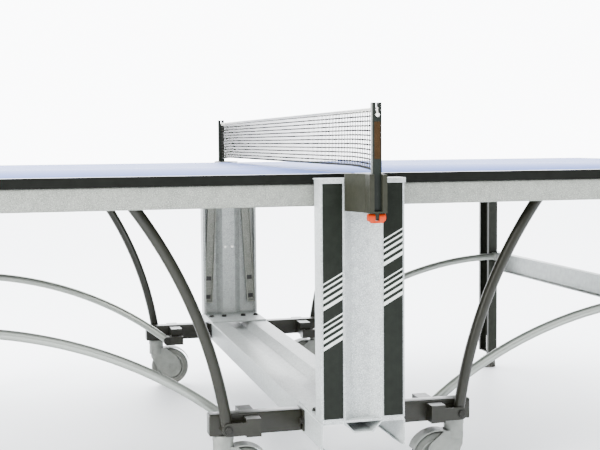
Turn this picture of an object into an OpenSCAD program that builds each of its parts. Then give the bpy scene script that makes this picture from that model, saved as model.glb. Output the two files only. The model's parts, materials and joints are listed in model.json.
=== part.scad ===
// Folding competition table for table tennis, on a two-pillar chassis with casters.
// X runs along the table's length, Y across it, Z up. The origin is on the floor
// under the middle of the net. Each half top folds up on rollers that run down
// guide tracks in the pillars. Sizes are in millimetres.

/* [Playing top] */
// Length of the whole playing surface
table_length = 2740; // [2200:10:3300]
// Width of the playing surface
table_width = 1525; // [1250:5:1830]
// Height of the playing surface above the floor
surface_h = 760; // [740:5:920]
// Thickness of the board
board_t = 22; // [16:1:30]
// Thickness of the band round the board's edge
band_t = 3; // [2:0.5:6]
// Distance of each half's inner edge from the net line
half_gap = 1.5; // [1:0.5:4]
// Height of the steel rails under the board
rail_h = 50; // [40:1:60]
// Width of the steel rails
rail_w = 25; // [20:1:35]
// Wall of the steel rails
rail_wall = 2; // [1.5:0.5:4]
// Setback of the rails from the board's edge
rail_inset = 4; // [4:0.5:6]
// Width of the two crossmembers under each half
crossmember_w = 60; // [44:2:80]
// Height of the two crossmembers under each half
crossmember_h = 18; // [12:1:20]

/* [Fold] */
// Distance of the roller axis from the half's inner edge
pivot_in = 52.5; // [44:0.5:60]
// Depth of the roller axis below the playing surface
pivot_drop = 34; // [32:0.5:38]
// Distance of a folded playing surface from the net line
folded_gap = 44; // [34:1:46]
// Height of a folded half's inner edge above the base beam
folded_lift = 10; // [6:1:40]
// Diameter of a roller
roller_d = 24; // [20:0.5:26]
// Width of a roller
roller_w = 12; // [8:0.5:14]
// Diameter of a roller's stub axle
roller_axle_d = 12; // [8:0.5:14]
// Diameter of the collar behind a roller
roller_collar_d = 16; // [14:0.5:18]
// Wall of the guide tracks
track_wall = 2.5; // [1.5:0.5:3]
// Length of track past each end of a roller's travel
track_over = 14; // [13:1:16]

/* [Chassis] */
// Width of the folded sheet in the base beam and the pillars
sheet_w = 194; // [192:1:240]
// Thickness of that sheet
sheet_t = 2.5; // [1.5:0.5:3]
// Width of the groove at its mouth
groove_open = 84; // [80:1:110]
// Width of the groove's floor
groove_floor = 42; // [40:1:60]
// Depth of the groove
groove_depth = 22; // [12:1:24]
// Width of the lips turned in at the sheet's two edges
sheet_lip = 8; // [6:1:10]
// Height of the top of the base beam above the floor
beam_top = 210; // [205:1:240]
// Height of the base beam
beam_h = 60; // [50:1:70]
// Depth of a pillar, across the table
pillar_depth = 52; // [50:1:70]
// Gap between the board's edge and a pillar
pillar_gap = 5.5; // [4:0.5:12]
// Height of a pillar's top below the playing surface
pillar_drop = 12; // [8:1:30]
// Thickness of the plate under each pillar
foot_plate_t = 5; // [3:0.5:8]
// Height of the flange on a pillar's cap
cap_flange = 8; // [5:1:16]
// Thickness of a pillar's cap
cap_t = 3; // [2:0.5:4]
// Thickness of the trim panels on the pillars
panel_t = 1.5; // [1:0.5:3]
// Margin round a trim panel
panel_margin = 5; // [3:0.5:8]
// Width of a cross bar
bar_w = 40; // [30:1:50]
// Height of a cross bar
bar_h = 50; // [40:1:54]
// Wall of the cross bars and end brackets
bar_wall = 2; // [1.5:0.5:4]
// Height of the underside of a cross bar
bar_bottom = 157; // [156:1:160]
// Distance from the pillar's outer face to the cross bar's outer face
bar_setback = 158; // [155:1:165]

/* [Arms and links] */
// Distance of an arm's upper pin from the half's inner edge
arm_in = 492; // [440:1:560]
// Depth of an arm's upper pin below the playing surface
arm_drop = 60; // [59:1:64]
// Height of an arm's lower end above the floor
arm_foot_h = 180; // [172:1:190]
// Diameter of an arm's tube
arm_d = 27; // [22:1:30]
// Bow of an arm's arc
arm_bow = 36; // [20:1:60]
// Distance of the arms from the board's edge
arm_inset = 80.5; // [78:0.5:90]
// Height of a link's lower end above the floor
link_foot_h = 168; // [164:1:176]
// Height of a link's upper pin above the floor
link_pin_h = 412; // [390:1:430]
// Diameter of a link's tube
link_d = 24; // [18:1:26]
// Bow of a link's arc
link_bow = 62; // [50:1:70]
// Wall of the arm and link tubes
tube_wall = 2; // [1.5:0.5:3]
// Diameter of the arm and link pins
pin_d = 10; // [8:0.5:12]
// Diameter of an eye at the end of an arm
arm_eye_d = 30; // [26:1:32]
// Diameter of an eye at the end of a link
link_eye_d = 28; // [24:1:30]
// Thickness of the bracket cheeks and lugs
lug_t = 5; // [3:0.5:6]

/* [Legs] */
// Distance of the leg hinge from the half's inner edge
leg_in = 928.5; // [860:0.5:1000]
// Depth of the leg hinge below the playing surface
leg_drop = 66; // [65:1:70]
// Size of a leg along the table
leg_w = 33; // [28:1:34]
// Size of a leg across the table
leg_d = 90; // [60:1:92]
// Thickness of a leg's sheet
leg_t = 2.5; // [2:0.5:4]
// Width of a leg's lips
leg_lip = 14; // [10:1:20]
// Distance of a leg's centre line from the board's edge
leg_inset = 151.5; // [150:0.5:160]
// Height of a leg's lower end above the floor
leg_foot_h = 55; // [50:1:70]
// Height of the lower edge of the beam between two legs
leg_beam_h = 359; // [340:1:380]
// Height of that beam's section
leg_beam_tall = 65; // [50:1:80]
// Depth of that beam's section
leg_beam_deep = 25; // [20:1:30]
// Width of a levelling foot's pad
foot_w = 60; // [40:1:70]
// Height of a levelling foot's pad
foot_h = 37; // [24:1:37]
// Diameter of a levelling foot's stud
stud_d = 12; // [10:0.5:16]
// Height that a levelling foot can be screwed up
foot_travel = 12; // [6:1:12]

/* [Casters] */
// Diameter of a caster's wheel
wheel_d = 125; // [100:1:126]
// Width of a caster's wheel
wheel_w = 26; // [20:1:32]
// Offset of the wheel's axle from the swivel
caster_trail = 46; // [40:1:50]
// Diameter of the wheel's axle
wheel_axle_d = 8; // [6:0.5:12]
// Diameter of a caster's collar
collar_d = 50; // [40:1:52]
// Diameter of a caster's stem
stem_d = 11; // [8:0.5:14]
// Distance from the cross bar's end to the caster's stem
stem_in = 35; // [30:1:44]

/* [Net] */
// Height of the net above the playing surface
net_h = 142; // [120:0.5:180]
// Distance from the board's edge to the middle of a net post
post_out = 152.5; // [140:0.5:170]
// Width of a net post
post_w = 21; // [18:1:32]
// Thickness of a net post
post_t = 13; // [8:1:16]
// Height of a net post above the net
post_over = 10; // [8:0.5:20]
// Depth of a net post below the playing surface
post_below = 76; // [66:1:78]
// Thickness of the net
net_t = 3; // [2:0.5:4]
// Diameter of the net's top cord
net_cord_d = 4; // [3:0.5:5]
// Height of a net bracket
bracket_h = 82; // [80:1:110]
// Height of a net bracket's top above the playing surface
bracket_over = 2; // [0:1:6]
// Half width of a net bracket where it meets the pillar
bracket_half_w = 42; // [38:1:47]
// Wall of a net bracket round its post
bracket_wall = 9; // [4:0.5:10]
// Height of a release lever
lever_h = 19; // [18:1:30]
// Width of a release lever at its top
lever_w = 38; // [30:1:44]

/* [Clearances] */
// Radial clearance of a turning pin in its hole
pin_clear = 0.06; // [0.02:0.01:0.1]
// Clearance of a roller in its track, on each side
roller_clear = 0.4; // [0.3:0.1:0.6]
// Gap at the sides of an eye between two cheeks
eye_gap = 0.5; // [0.3:0.1:1]
// Clearance of a post in its bracket, on each side
post_clear = 0.4; // [0.2:0.1:0.6]
// Gap between pieces that swing past each other
swing_gap = 3; // [2:0.5:5]

/* [Hidden] */
$fn = 64;

// Colours
steel_grey = "#b4b8b2";
dark_olive = "#3a3b33";
black = "#22231f";
board_blue = "#2f57b0";
silver = "#b9bdb9";
caster_grey = "#a9ada8";
orange = "#e2541f";
cord_white = "#ece9e0";

// Levels and edges
y_edge = table_width / 2;
z_under = surface_h - board_t;
z_apron = z_under - rail_h;
half_len = table_length / 2 - half_gap;
x_outer = half_gap + half_len;
y_rail = y_edge - rail_inset;
y_rail_in = y_rail - rail_w;
y_pillar_in = y_edge + pillar_gap;
y_pillar = y_pillar_in + pillar_depth;
pillar_bottom = beam_top + foot_plate_t;
pillar_top = surface_h - pillar_drop;

// Roller axis on the right half, laid flat and folded, as [x, z]
roller_flat = [half_gap + pivot_in, surface_h - pivot_drop];
roller_up = [folded_gap + pivot_drop, beam_top + folded_lift + pivot_in];
track_run = norm(roller_up - roller_flat);
track_tilt = -asin((roller_up.x - roller_flat.x) / track_run);

// Where a point of the flat half, as [x, z], comes to when the half stands folded
function folded(p) = roller_up + [surface_h - pivot_drop - p.y, p.x - roller_flat.x];

// A point at height z that is as far from p as from q, so a bar from there fits both
function pivot_between(p, q, z) =
  [(p.x^2 - q.x^2 + (p.y - z)^2 - (q.y - z)^2) / (2 * (p.x - q.x)), z];

// Pins of the right half's arms, legs and links, as [x, z]
arm_top = [half_gap + arm_in, surface_h - arm_drop];
arm_foot = pivot_between(arm_top, folded(arm_top), arm_foot_h);
leg_top = [half_gap + leg_in, surface_h - leg_drop];
link_top = [leg_top.x, link_pin_h];
link_top_up = folded(leg_top) - [0, leg_top.y - link_pin_h];
link_foot = pivot_between(link_top, link_top_up, link_foot_h);

// Planes across the table
y_arm = y_edge - arm_inset;
y_leg = y_edge - leg_inset;
leg_spacer = 2;
y_link = y_leg - leg_d / 2 - eye_gap - leg_spacer - link_d / 2;
y_bar = y_pillar - bar_setback;
y_post = y_edge + post_out;

// Ends of the cross bars and end brackets
bar_past_eye = 23;
bar_end = arm_foot.x + arm_eye_d / 2 + bar_past_eye;
end_bracket_out = min(link_foot.x - link_eye_d / 2, arm_foot.x - arm_eye_d / 2) - swing_gap;
end_bracket_w = 35;
end_bracket_h = 42;
end_bracket_z = bar_bottom + 4;
stem = [bar_end - stem_in, y_bar - bar_w / 2];
flange_t = 4;
flange_rim = 10;
link_bridge_t = 12;

// Sheet profile
groove_lean = atan2(groove_depth, (groove_open - groove_floor) / 2);
groove_shift = sheet_t * tan(groove_lean / 2);

// Guide track section and place
track_in = roller_d + 2 * roller_clear;
track_out = track_in + 2 * track_wall;
roller_side_gap = 1.5;
y_track_back = y_pillar - groove_depth - sheet_t - 1;
y_track_floor = y_track_back - track_wall;
y_roller = y_track_floor - roller_side_gap - roller_w / 2;
y_track_front = y_roller - roller_w / 2 - 1;
track_standoff_d = 9;
insert_w = 18;
insert_h = 15;
insert_levels = [3, 70];
stop_t = 5;
standoff_levels = [-track_run / 6, -track_run * 5 / 6];

// Roller brackets
pivot_plate_t = 3;
pivot_plate_w = 52;
pivot_plate_margin = 4;
axle_tip = 0.5;
collar_gap_y = 0.3;

// Net bracket, post and lever
bracket_top = surface_h + bracket_over;
bracket_bottom = bracket_top - bracket_h;
bracket_flange_t = 6;
post_lip = 1.5;
lever_pin_d = 5;
lever_round = 8;
lever_tip_w = lever_w - 12;
lever_tip_t = lever_round + 2;
lever_pivot = [y_post, bracket_bottom - lever_round - 1];
tongue_t = 8;
tongue_r = 6;
net_slot_w = net_cord_d + 1;
net_slot_depth = post_over + 4;
net_lift = bracket_over + 8;
net_end_gap = 0.3;
recess = [14, 2, 80];
recess_drop = 40;
tail_d = net_cord_d - 0.5;
tail_drop = 14;
bead_d = 9;

// Fasteners
bolt_head_d = 17;
bolt_head_h = 6;
screw_d = 5;
screw_head_d = 9;
screw_head_h = 2.5;
screw_nut_h = 0.8;
flange_bolt_d = 8;
flange_bolt_h = 4;
foot_plate_over = 160;
foot_plate_bolts = [34, sheet_w / 2 - 17];
foot_plate_bolt_in = 58;
cap_lip_t = 2;
hinge_lug_r = 11;
pin_over = 3;
screw_places = [[-12, surface_h - 88], [-12, surface_h - 305], [13, surface_h - 305]];

// Leg and foot details
leg_crown = 12;
leg_pin_d = 12;
foot_plate_leg_t = 5;
stud_up = 60;
foot_shoulder = 6;
foot_neck_d = 0.6 * foot_w;
foot_nut_h = 5;
leg_pin_head_d = 20;
leg_pin_head_h = 4;

// Casters
caster_cheek_t = 5;
wheel_side_gap = 1.5;
wheel_gap = 4;
collar_gap = 0.4;
hub_d = 62;
fender_t = 3;
stem_up = 26;
stem_root = 4;
cheek_top = [2, -20];
cheek_top_r = 17;
cheek_axle_r = 19;
cheek_taper = 1;
collar_down = 26;
fender_from = 18;
fender_turn = 122;
neck = [26, 25];
neck_drop = 30;
axle_cap_d = 2 * wheel_axle_d;
axle_cap_t = 2.5;

// ---- Shared shapes ----

// Puts a piece at the far side and its mirror image at the near side
module both_sides() {
  children();
  mirror([0, 1, 0]) children();
}

// Puts a piece on the right half and its mirror image on the left half
module both_halves() {
  children();
  mirror([1, 0, 0]) children();
}

// A round bar along Y, its middle at height z and distance x
module cross_pin(p, y, d, h) {
  translate([p.x, y, p.y]) rotate([90, 0, 0]) cylinder(d = d, h = h, center = true);
}

// Folded sheet with a groove in its face, face at y = 0, drawn as [across, depth]
module grooved_sheet(depth) {
  w = sheet_w / 2;
  a = groove_open / 2;
  b = groove_floor / 2;
  g = groove_depth;
  t = sheet_t;
  k = groove_shift;
  right_face = [[w - sheet_lip, -depth], [w, -depth], [w, 0], [a, 0], [b, -g]];
  right_back = [[b + k, -g - t], [a + k, -t], [w - t, -t], [w - t, t - depth],
                [w - sheet_lip, t - depth]];
  polygon(concat(
    right_face,
    [for (i = [4:-1:0]) [-right_face[i].x, right_face[i].y]],
    [for (i = [4:-1:0]) [-right_back[i].x, right_back[i].y]],
    right_back));
}

// A closed box tube from corner lo to corner hi, hollow along one axis (0 is X, 1 is Y)
module box_tube(lo, hi, wall, along) {
  past = [for (i = [0:2]) i == along ? 1 : -wall];
  difference() {
    translate(lo) cube(hi - lo);
    translate(lo - past) cube(hi - lo + 2 * past);
  }
}

// A tube bent to one arc between two [x, z] points, with a bored eye at each end
module bowed_tube(p, q, bow, y, d, eye_d, top_bore) {
  chord = norm(q - p);
  bend = (chord^2 / 4 + bow^2) / (2 * bow);
  side = [p.y - q.y, q.x - p.x] / chord;
  centre = (p + q) / 2 - side * (bend - bow);
  from = atan2(q.y - centre.y, q.x - centre.x);
  to = atan2(p.y - centre.y, p.x - centre.x);
  difference() {
    union() {
      translate([centre.x, y, centre.y]) rotate([90, 0, 0]) rotate([0, 0, from])
        rotate_extrude(angle = to - from) translate([bend, 0]) difference() {
          circle(d = d);
          circle(d = d - 2 * tube_wall);
        }
      cross_pin(p, y, eye_d, d);
      cross_pin(q, y, eye_d, d);
    }
    cross_pin(p, y, pin_d + 2 * pin_clear, d + 2);
    cross_pin(q, y, top_bore + 2 * pin_clear, d + 2);
  }
}

// ---- Chassis ----

module base_beam() color(steel_grey)
  translate([0, 0, beam_top]) rotate([90, 0, 0])
    linear_extrude(2 * y_pillar, center = true) grooved_sheet(beam_h);

module cross_bar() {
  lo = [sheet_w / 2 + flange_t, y_bar - bar_w, bar_bottom];
  hi = [bar_end, y_bar, bar_bottom + bar_h];
  difference() {
    union() {
      translate(lo) cube(hi - lo);
      translate([sheet_w / 2, lo.y - flange_rim, lo.z])
        cube([flange_t, bar_w + 2 * flange_rim, bar_h]);
    }
    translate([sheet_w / 2 - 1, lo.y + bar_wall, lo.z + bar_wall])
      cube([hi.x - sheet_w / 2 + 1 - bar_wall, bar_w - 2 * bar_wall, bar_h - 2 * bar_wall]);
    translate([stem.x, stem.y, lo.z - 1])
      cylinder(d = stem_d + 2 * pin_clear, h = bar_wall + 2);
  }
}

module cross_bars() color(dark_olive)
  both_halves() both_sides() cross_bar();

// A lug of an end bracket beside an eye, from distance x out round the eye
module bracket_lug(p, y, eye_d, x) {
  translate([x, y - lug_t / 2, p.y - eye_d / 2]) cube([p.x - x, lug_t, eye_d]);
  cross_pin(p, y, eye_d, lug_t);
}

// A box with thin walls on a side of the cross bar, open towards the bar
module bracket_box(y_from, y_to) {
  lo = [end_bracket_out - end_bracket_w, min(y_from, y_to), end_bracket_z];
  size = [end_bracket_w, abs(y_to - y_from), end_bracket_h];
  wall = [bar_wall, y_from < y_to ? -1 : bar_wall, bar_wall];
  difference() {
    translate(lo) cube(size);
    translate(lo + wall) cube(size - [2 * bar_wall, bar_wall - 1, 2 * bar_wall]);
  }
}

// Boxes on both sides of the cross bar, with lugs for the arm and for the link
module end_bracket() {
  back = end_bracket_out - end_bracket_w;
  arm_side = arm_d / 2 + eye_gap + lug_t / 2;
  link_side = link_d / 2 + eye_gap + lug_t / 2;
  bracket_box(y_bar, y_arm + arm_side + lug_t / 2);
  bracket_box(y_bar - bar_w, y_link + link_side - lug_t / 2);
  // bridge behind the link to its inner lug
  translate([back, y_link - link_side - lug_t / 2, link_foot.y - link_eye_d / 2])
    cube([link_bridge_t, 2 * link_side + lug_t, link_eye_d]);
  for (s = [-1, 1]) {
    bracket_lug(arm_foot, y_arm + s * arm_side, arm_eye_d, end_bracket_out - 1);
    bracket_lug(link_foot, y_link + s * link_side, link_eye_d, back + 1);
  }
}

module end_brackets() color(dark_olive)
  both_halves() both_sides() end_bracket();

module pillar() color(steel_grey)
  difference() {
    translate([0, y_pillar, pillar_bottom])
      linear_extrude(pillar_top - pillar_bottom) grooved_sheet(pillar_depth);
    for (p = screw_places)
      cross_pin(p, y_pillar - groove_depth, screw_d + 2 * pin_clear, 4 * sheet_t);
  }

module far_pillar() pillar();
module near_pillar() mirror([0, 1, 0]) pillar();

// A plate on a pillar's top, with a flange down its face at each side of the net bracket
module pillar_cap() {
  reach = sheet_w / 2 + cap_lip_t;
  inner = max(groove_open / 2, bracket_half_w) + cap_lip_t;
  translate([-reach, y_pillar_in, pillar_top]) cube([2 * reach, pillar_depth, cap_t]);
  for (s = [0, 1])
    mirror([s, 0, 0]) translate([inner, y_pillar - 1, pillar_top - cap_flange]) difference() {
      cube([reach - inner, cap_lip_t + 1, cap_flange + cap_t]);
      translate([-1, -1, -1]) cube([reach - inner + 2, 2, cap_flange + 1]);
    }
}

module pillar_caps() color(steel_grey)
  both_sides() pillar_cap();

module pillar_panels() color(black)
  both_halves() both_sides()
    translate([groove_open / 2 + panel_margin, y_pillar, pillar_bottom + panel_margin])
      cube([(sheet_w - groove_open) / 2 - 2 * panel_margin, panel_t,
            pillar_top - cap_flange - pillar_bottom - panel_margin]);

// Stands its children in the right track's own frame: the flat roller axis at the
// origin and the roller's way down along -Z
module along_track() {
  translate([roller_flat.x, 0, roller_flat.y]) rotate([0, track_tilt, 0]) children();
}

module guide_track() {
  bottom = -track_run - roller_d / 2 - roller_clear;
  top = track_over;
  along_track() {
    difference() {
      translate([-track_out / 2, y_track_front, bottom - stop_t])
        cube([track_out, y_track_back - y_track_front, top - bottom + stop_t]);
      translate([-track_in / 2, y_track_front - 1, bottom])
        cube([track_in, y_track_floor - y_track_front + 1, top - bottom + 1]);
      for (level = insert_levels)
        translate([-insert_w / 2, y_track_floor - 1, level - track_run - insert_h / 2])
          cube([insert_w, track_wall + 2, insert_h]);
    }
    for (z = standoff_levels)
      translate([track_standoff_d / 2, (y_track_back + y_pillar - sheet_t) / 2, z])
        rotate([90, 0, 0])
          cylinder(d = track_standoff_d, h = y_pillar - sheet_t - y_track_back, center = true);
  }
}

module guide_tracks() color(steel_grey)
  both_halves() both_sides() guide_track();

module track_inserts() color(black)
  both_halves() both_sides() along_track()
    for (level = insert_levels)
      translate([-insert_w / 2, y_track_floor, level - track_run - insert_h / 2])
        cube([insert_w, track_wall, insert_h]);

module foot_plates() color(steel_grey)
  both_sides() translate([sheet_t - sheet_w / 2, y_pillar_in - foot_plate_over, beam_top])
    cube([sheet_w - 2 * sheet_t, pillar_depth + foot_plate_over, foot_plate_t]);

// A hexagon bolt head standing on a face at the origin, along +Z
module bolt_head() cylinder(d = bolt_head_d, h = bolt_head_h, $fn = 6);

module chassis_bolts() color(black)
  both_halves() both_sides() {
    // through the foot plate
    for (x = foot_plate_bolts)
      translate([x, y_pillar_in - foot_plate_bolt_in, pillar_bottom]) bolt_head();
    // through the rims of the cross bar's flange
    for (y = [y_bar + flange_rim / 2, y_bar - bar_w - flange_rim / 2])
      translate([sheet_w / 2 + flange_t, y, bar_bottom + bar_h / 2])
        rotate([0, 90, 0]) cylinder(d = flange_bolt_d, h = flange_bolt_h);
    // on the outer lugs of the end bracket
    translate([arm_foot.x, y_arm + arm_d / 2 + eye_gap + lug_t, arm_foot.y])
      rotate([-90, 0, 0]) bolt_head();
    translate([link_foot.x, y_link - link_d / 2 - eye_gap - lug_t, link_foot.y])
      rotate([90, 0, 0]) bolt_head();
  }

// A screw through the floor of a pillar's groove, with its head outside
module pillar_screw(p) {
  floor_y = y_pillar - groove_depth;
  cross_pin(p, floor_y + screw_head_h / 2, screw_head_d, screw_head_h);
  cross_pin(p, floor_y - sheet_t / 2, screw_d, sheet_t + screw_nut_h);
  cross_pin(p, floor_y - sheet_t - screw_nut_h / 2, screw_head_d, screw_nut_h);
}

module pillar_screws() color(silver)
  both_sides() for (p = screw_places) pillar_screw(p);

// ---- Net ----

module net_bracket() color(dark_olive) {
  y_out = y_post + post_t / 2 + bracket_wall;
  neck = post_w / 2 + bracket_wall;
  difference() {
    union() {
      translate([0, 0, bracket_bottom]) linear_extrude(bracket_h)
        polygon([[-bracket_half_w, y_pillar], [-bracket_half_w, y_pillar + bracket_flange_t],
                 [-neck, y_out - post_t - 2 * bracket_wall], [-neck, y_out], [neck, y_out],
                 [neck, y_out - post_t - 2 * bracket_wall],
                 [bracket_half_w, y_pillar + bracket_flange_t], [bracket_half_w, y_pillar]]);
      // tongue that the lever hangs from
      translate([-tongue_t / 2, y_post - tongue_r, lever_pivot.y])
        cube([tongue_t, 2 * tongue_r, bracket_bottom - lever_pivot.y + 1]);
      translate([0, lever_pivot.x, lever_pivot.y]) rotate([0, 90, 0])
        cylinder(r = tongue_r, h = tongue_t, center = true);
    }
    translate([0, lever_pivot.x, lever_pivot.y]) rotate([0, 90, 0])
      cylinder(d = lever_pin_d + 2 * pin_clear, h = tongue_t + 2, center = true);
    // socket for the post, open in front between two lips
    translate([-post_w / 2 + post_lip, y_post, surface_h - post_below - post_clear])
      cube([post_w - 2 * post_lip, y_out - y_post + 1, post_below + bracket_over + 1]);
    translate([-post_w / 2 - post_clear, y_post - post_t / 2 - post_clear,
               surface_h - post_below - post_clear])
      cube([post_w + 2 * post_clear, post_t + 2 * post_clear, post_below + bracket_over + 1]);
    // hollow behind the sloping cheeks, open at the foot
    translate([0, 0, bracket_bottom - 1]) linear_extrude(bracket_h - bracket_wall + 1)
      polygon([for (s = [-1, 1], i = [0, 1])
        let (j = s > 0 ? 1 - i : i)
        [s * (j == 0 ? bracket_half_w - 2 * bracket_wall : post_w / 2),
         j == 0 ? y_pillar + bracket_flange_t
                : y_post - post_t / 2 - 2 * bracket_wall]]);
  }
}

module far_net_bracket() net_bracket();
module near_net_bracket() mirror([0, 1, 0]) net_bracket();

module net_post() color(black) {
  top = surface_h + net_h + post_over;
  difference() {
    translate([-post_w / 2, y_post - post_t / 2, surface_h - post_below])
      cube([post_w, post_t, top - surface_h + post_below]);
    translate([-net_slot_w / 2, y_post - post_t / 2 - 1, top - net_slot_depth])
      cube([net_slot_w, post_t + 2, net_slot_depth + 1]);
    translate([-recess.x / 2, y_post + post_t / 2 - recess.y, top - recess_drop - recess.z])
      cube([recess.x, recess.y + 1, recess.z]);
  }
}

module far_net_post() net_post();
module near_net_post() mirror([0, 1, 0]) net_post();

z_cord = surface_h + net_h - net_cord_d / 2;

module net() color(black) {
  half = y_post - post_t / 2 - net_end_gap;
  translate([-net_t / 2, -half, surface_h + net_lift])
    cube([net_t, 2 * half, z_cord - net_cord_d / 2 - surface_h - net_lift]);
}

module net_top_cord() color(cord_white)
  translate([0, 0, z_cord]) rotate([90, 0, 0])
    cylinder(d = net_cord_d, h = 2 * (y_post + post_t / 2), center = true, $fn = 32);

module cord_tail() {
  y_face = y_post + post_t / 2;
  translate([0, y_face + tail_d / 2, z_cord - tail_drop])
    cylinder(d = tail_d, h = tail_drop + net_cord_d / 2, $fn = 32);
  translate([0, y_face + bead_d / 2, z_cord - tail_drop]) sphere(d = bead_d, $fn = 32);
}

module cord_tails() color(cord_white)
  both_sides() cord_tail();

module release_lever() color(orange) {
  slot_w = tongue_t + 2 * eye_gap;
  difference() {
    union() {
      translate([0, lever_pivot.x, lever_pivot.y]) rotate([0, 90, 0])
        cylinder(r = lever_round, h = lever_w, center = true);
      hull() {
        translate([0, lever_pivot.x, lever_pivot.y - 2])
          cube([lever_w, 2 * lever_round, 2], center = true);
        translate([0, lever_pivot.x + 2, lever_pivot.y - lever_h + lever_round])
          cube([lever_tip_w, lever_tip_t, 2], center = true);
      }
    }
    translate([-slot_w / 2, lever_pivot.x - 2 * lever_round, lever_pivot.y - tongue_r - 1])
      cube([slot_w, 4 * lever_round, 2 * tongue_r + 2 * lever_round]);
  }
  translate([0, lever_pivot.x, lever_pivot.y]) rotate([0, 90, 0])
    cylinder(d = lever_pin_d, h = slot_w + 2, center = true);
}

module far_release_lever() release_lever();
module near_release_lever() mirror([0, 1, 0]) release_lever();

// ---- Casters ----

wheel_r = wheel_d / 2;
cheek_in = wheel_w / 2 + wheel_side_gap;
cheek_out = cheek_in + caster_cheek_t;

// Cheek of a caster, from the stem's hood down to the axle
module caster_cheek(hood_top) {
  top = [cheek_top.x, hood_top + cheek_top.y];
  axle = [-caster_trail, wheel_r];
  side = [axle.y - top.y, top.x - axle.x] / norm(axle - top);
  rotate([90, 0, 0]) {
    translate([top.x, top.y, 0]) cylinder(r = cheek_top_r, h = caster_cheek_t, center = true);
    translate([axle.x, axle.y, 0]) cylinder(r = cheek_axle_r, h = caster_cheek_t, center = true);
    linear_extrude(caster_cheek_t, center = true)
      polygon([for (end = [[top, cheek_top_r, 1], [axle, cheek_axle_r, 1],
                          [axle, cheek_axle_r, -1], [top, cheek_top_r, -1]])
        end[0] + side * end[2] * (end[1] - cheek_taper)]);
  }
}

// Right far caster in its own frame, the stem on the Z axis and the wheel towards -X
module caster_fork_shape() {
  collar_top = bar_bottom - collar_gap;
  hood_top = 2 * wheel_r + wheel_gap + fender_t;
  bridge = 2 * cheek_out - 1;
  translate([0, 0, collar_top - stem_root]) cylinder(d = stem_d, h = stem_up + stem_root);
  difference() {
    union() {
      translate([0, 0, hood_top - collar_down])
        cylinder(d = collar_d, h = collar_top - hood_top + collar_down);
      translate([-caster_trail, 0, wheel_r]) rotate([90, 0, 0]) rotate([0, 0, fender_from])
        rotate_extrude(angle = fender_turn) translate([wheel_r + wheel_gap - 1, -bridge / 2])
          square([fender_t + 1, bridge]);
      translate([-neck.x / 2, (1 - bridge) / 2, hood_top - neck_drop])
        cube([neck.x, bridge - 1, neck.y]);
    }
    translate([-caster_trail, 0, wheel_r]) rotate([90, 0, 0])
      cylinder(r = wheel_r + wheel_gap, h = 2 * cheek_out + 2, center = true);
  }
  for (s = [-1, 1])
    translate([0, s * (cheek_in + caster_cheek_t / 2), 0]) caster_cheek(hood_top);
  translate([-caster_trail, 0, wheel_r]) rotate([90, 0, 0])
    cylinder(d = wheel_axle_d, h = 2 * cheek_out + 2, center = true);
  for (s = [-1, 1])
    translate([-caster_trail, s * (cheek_out + 1), wheel_r]) rotate([90, 0, 0])
      cylinder(d = axle_cap_d, h = axle_cap_t, center = true);
}

module caster_fork() color(caster_grey)
  translate([stem.x, stem.y, 0]) caster_fork_shape();

module caster_wheel() color(silver)
  translate([stem.x - caster_trail, stem.y, wheel_r]) rotate([90, 0, 0]) {
    w = wheel_w / 2;
    r = wheel_r;
    chamfer = wheel_w / 6;
    bore = wheel_axle_d / 2 + pin_clear;
    rotate_extrude() polygon([
      [bore, -w], [hub_d / 4, -w], [hub_d / 4 + 3, chamfer - w], [hub_d / 2, chamfer - w],
      [hub_d / 2 + 3, -w], [r - chamfer, -w], [r, chamfer - w],
      [r, w - chamfer], [r - chamfer, w], [hub_d / 2 + 3, w], [hub_d / 2, w - chamfer],
      [hub_d / 4 + 3, w - chamfer], [hub_d / 4, w], [bore, w]]);
  }

module far_right_caster_fork() caster_fork();
module far_left_caster_fork() mirror([1, 0, 0]) caster_fork();
module near_right_caster_fork() mirror([0, 1, 0]) caster_fork();
module near_left_caster_fork() mirror([1, 0, 0]) mirror([0, 1, 0]) caster_fork();
module far_right_caster_wheel() caster_wheel();
module far_left_caster_wheel() mirror([1, 0, 0]) caster_wheel();
module near_right_caster_wheel() mirror([0, 1, 0]) caster_wheel();
module near_left_caster_wheel() mirror([1, 0, 0]) mirror([0, 1, 0]) caster_wheel();

// ---- Right half; the left half is its mirror image ----

module board() color(board_blue)
  translate([half_gap + band_t, band_t - y_edge, z_under])
    cube([half_len - 2 * band_t, table_width - 2 * band_t, board_t]);

module edge_band() color(black)
  difference() {
    translate([half_gap, -y_edge, z_under]) cube([half_len, table_width, board_t]);
    translate([half_gap + band_t, band_t - y_edge, z_under - 1])
      cube([half_len - 2 * band_t, table_width - 2 * band_t, board_t + 2]);
  }

module side_rails() color(steel_grey)
  both_sides() box_tube([half_gap + rail_inset, y_rail_in, z_apron],
                        [x_outer - rail_inset, y_rail, z_under], rail_wall, 0);

module end_rails() color(steel_grey)
  for (x = [half_gap + rail_inset, x_outer - rail_inset - rail_w])
    box_tube([x, -y_rail_in, z_apron], [x + rail_w, y_rail_in, z_under], rail_wall, 1);

module crossmembers() color(steel_grey)
  for (x = [arm_top.x, leg_top.x])
    box_tube([x - crossmember_w / 2, -y_rail_in, z_under - crossmember_h],
             [x + crossmember_w / 2, y_rail_in, z_under], rail_wall, 1);

// Two cheeks and a pin that hang from a crossmember and hold an eye or a leg's top
module hinge_bracket(p, y, inner, d) {
  z_top = z_under - crossmember_h;
  for (s = [-1, 1]) {
    y_cheek = y + s * (inner / 2 + eye_gap + lug_t / 2);
    translate([p.x - hinge_lug_r, y_cheek - lug_t / 2, p.y])
      cube([2 * hinge_lug_r, lug_t, z_top - p.y]);
    cross_pin(p, y_cheek, 2 * hinge_lug_r, lug_t);
  }
  cross_pin(p, y, d, inner + 2 * (eye_gap + lug_t + pin_over));
}

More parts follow.
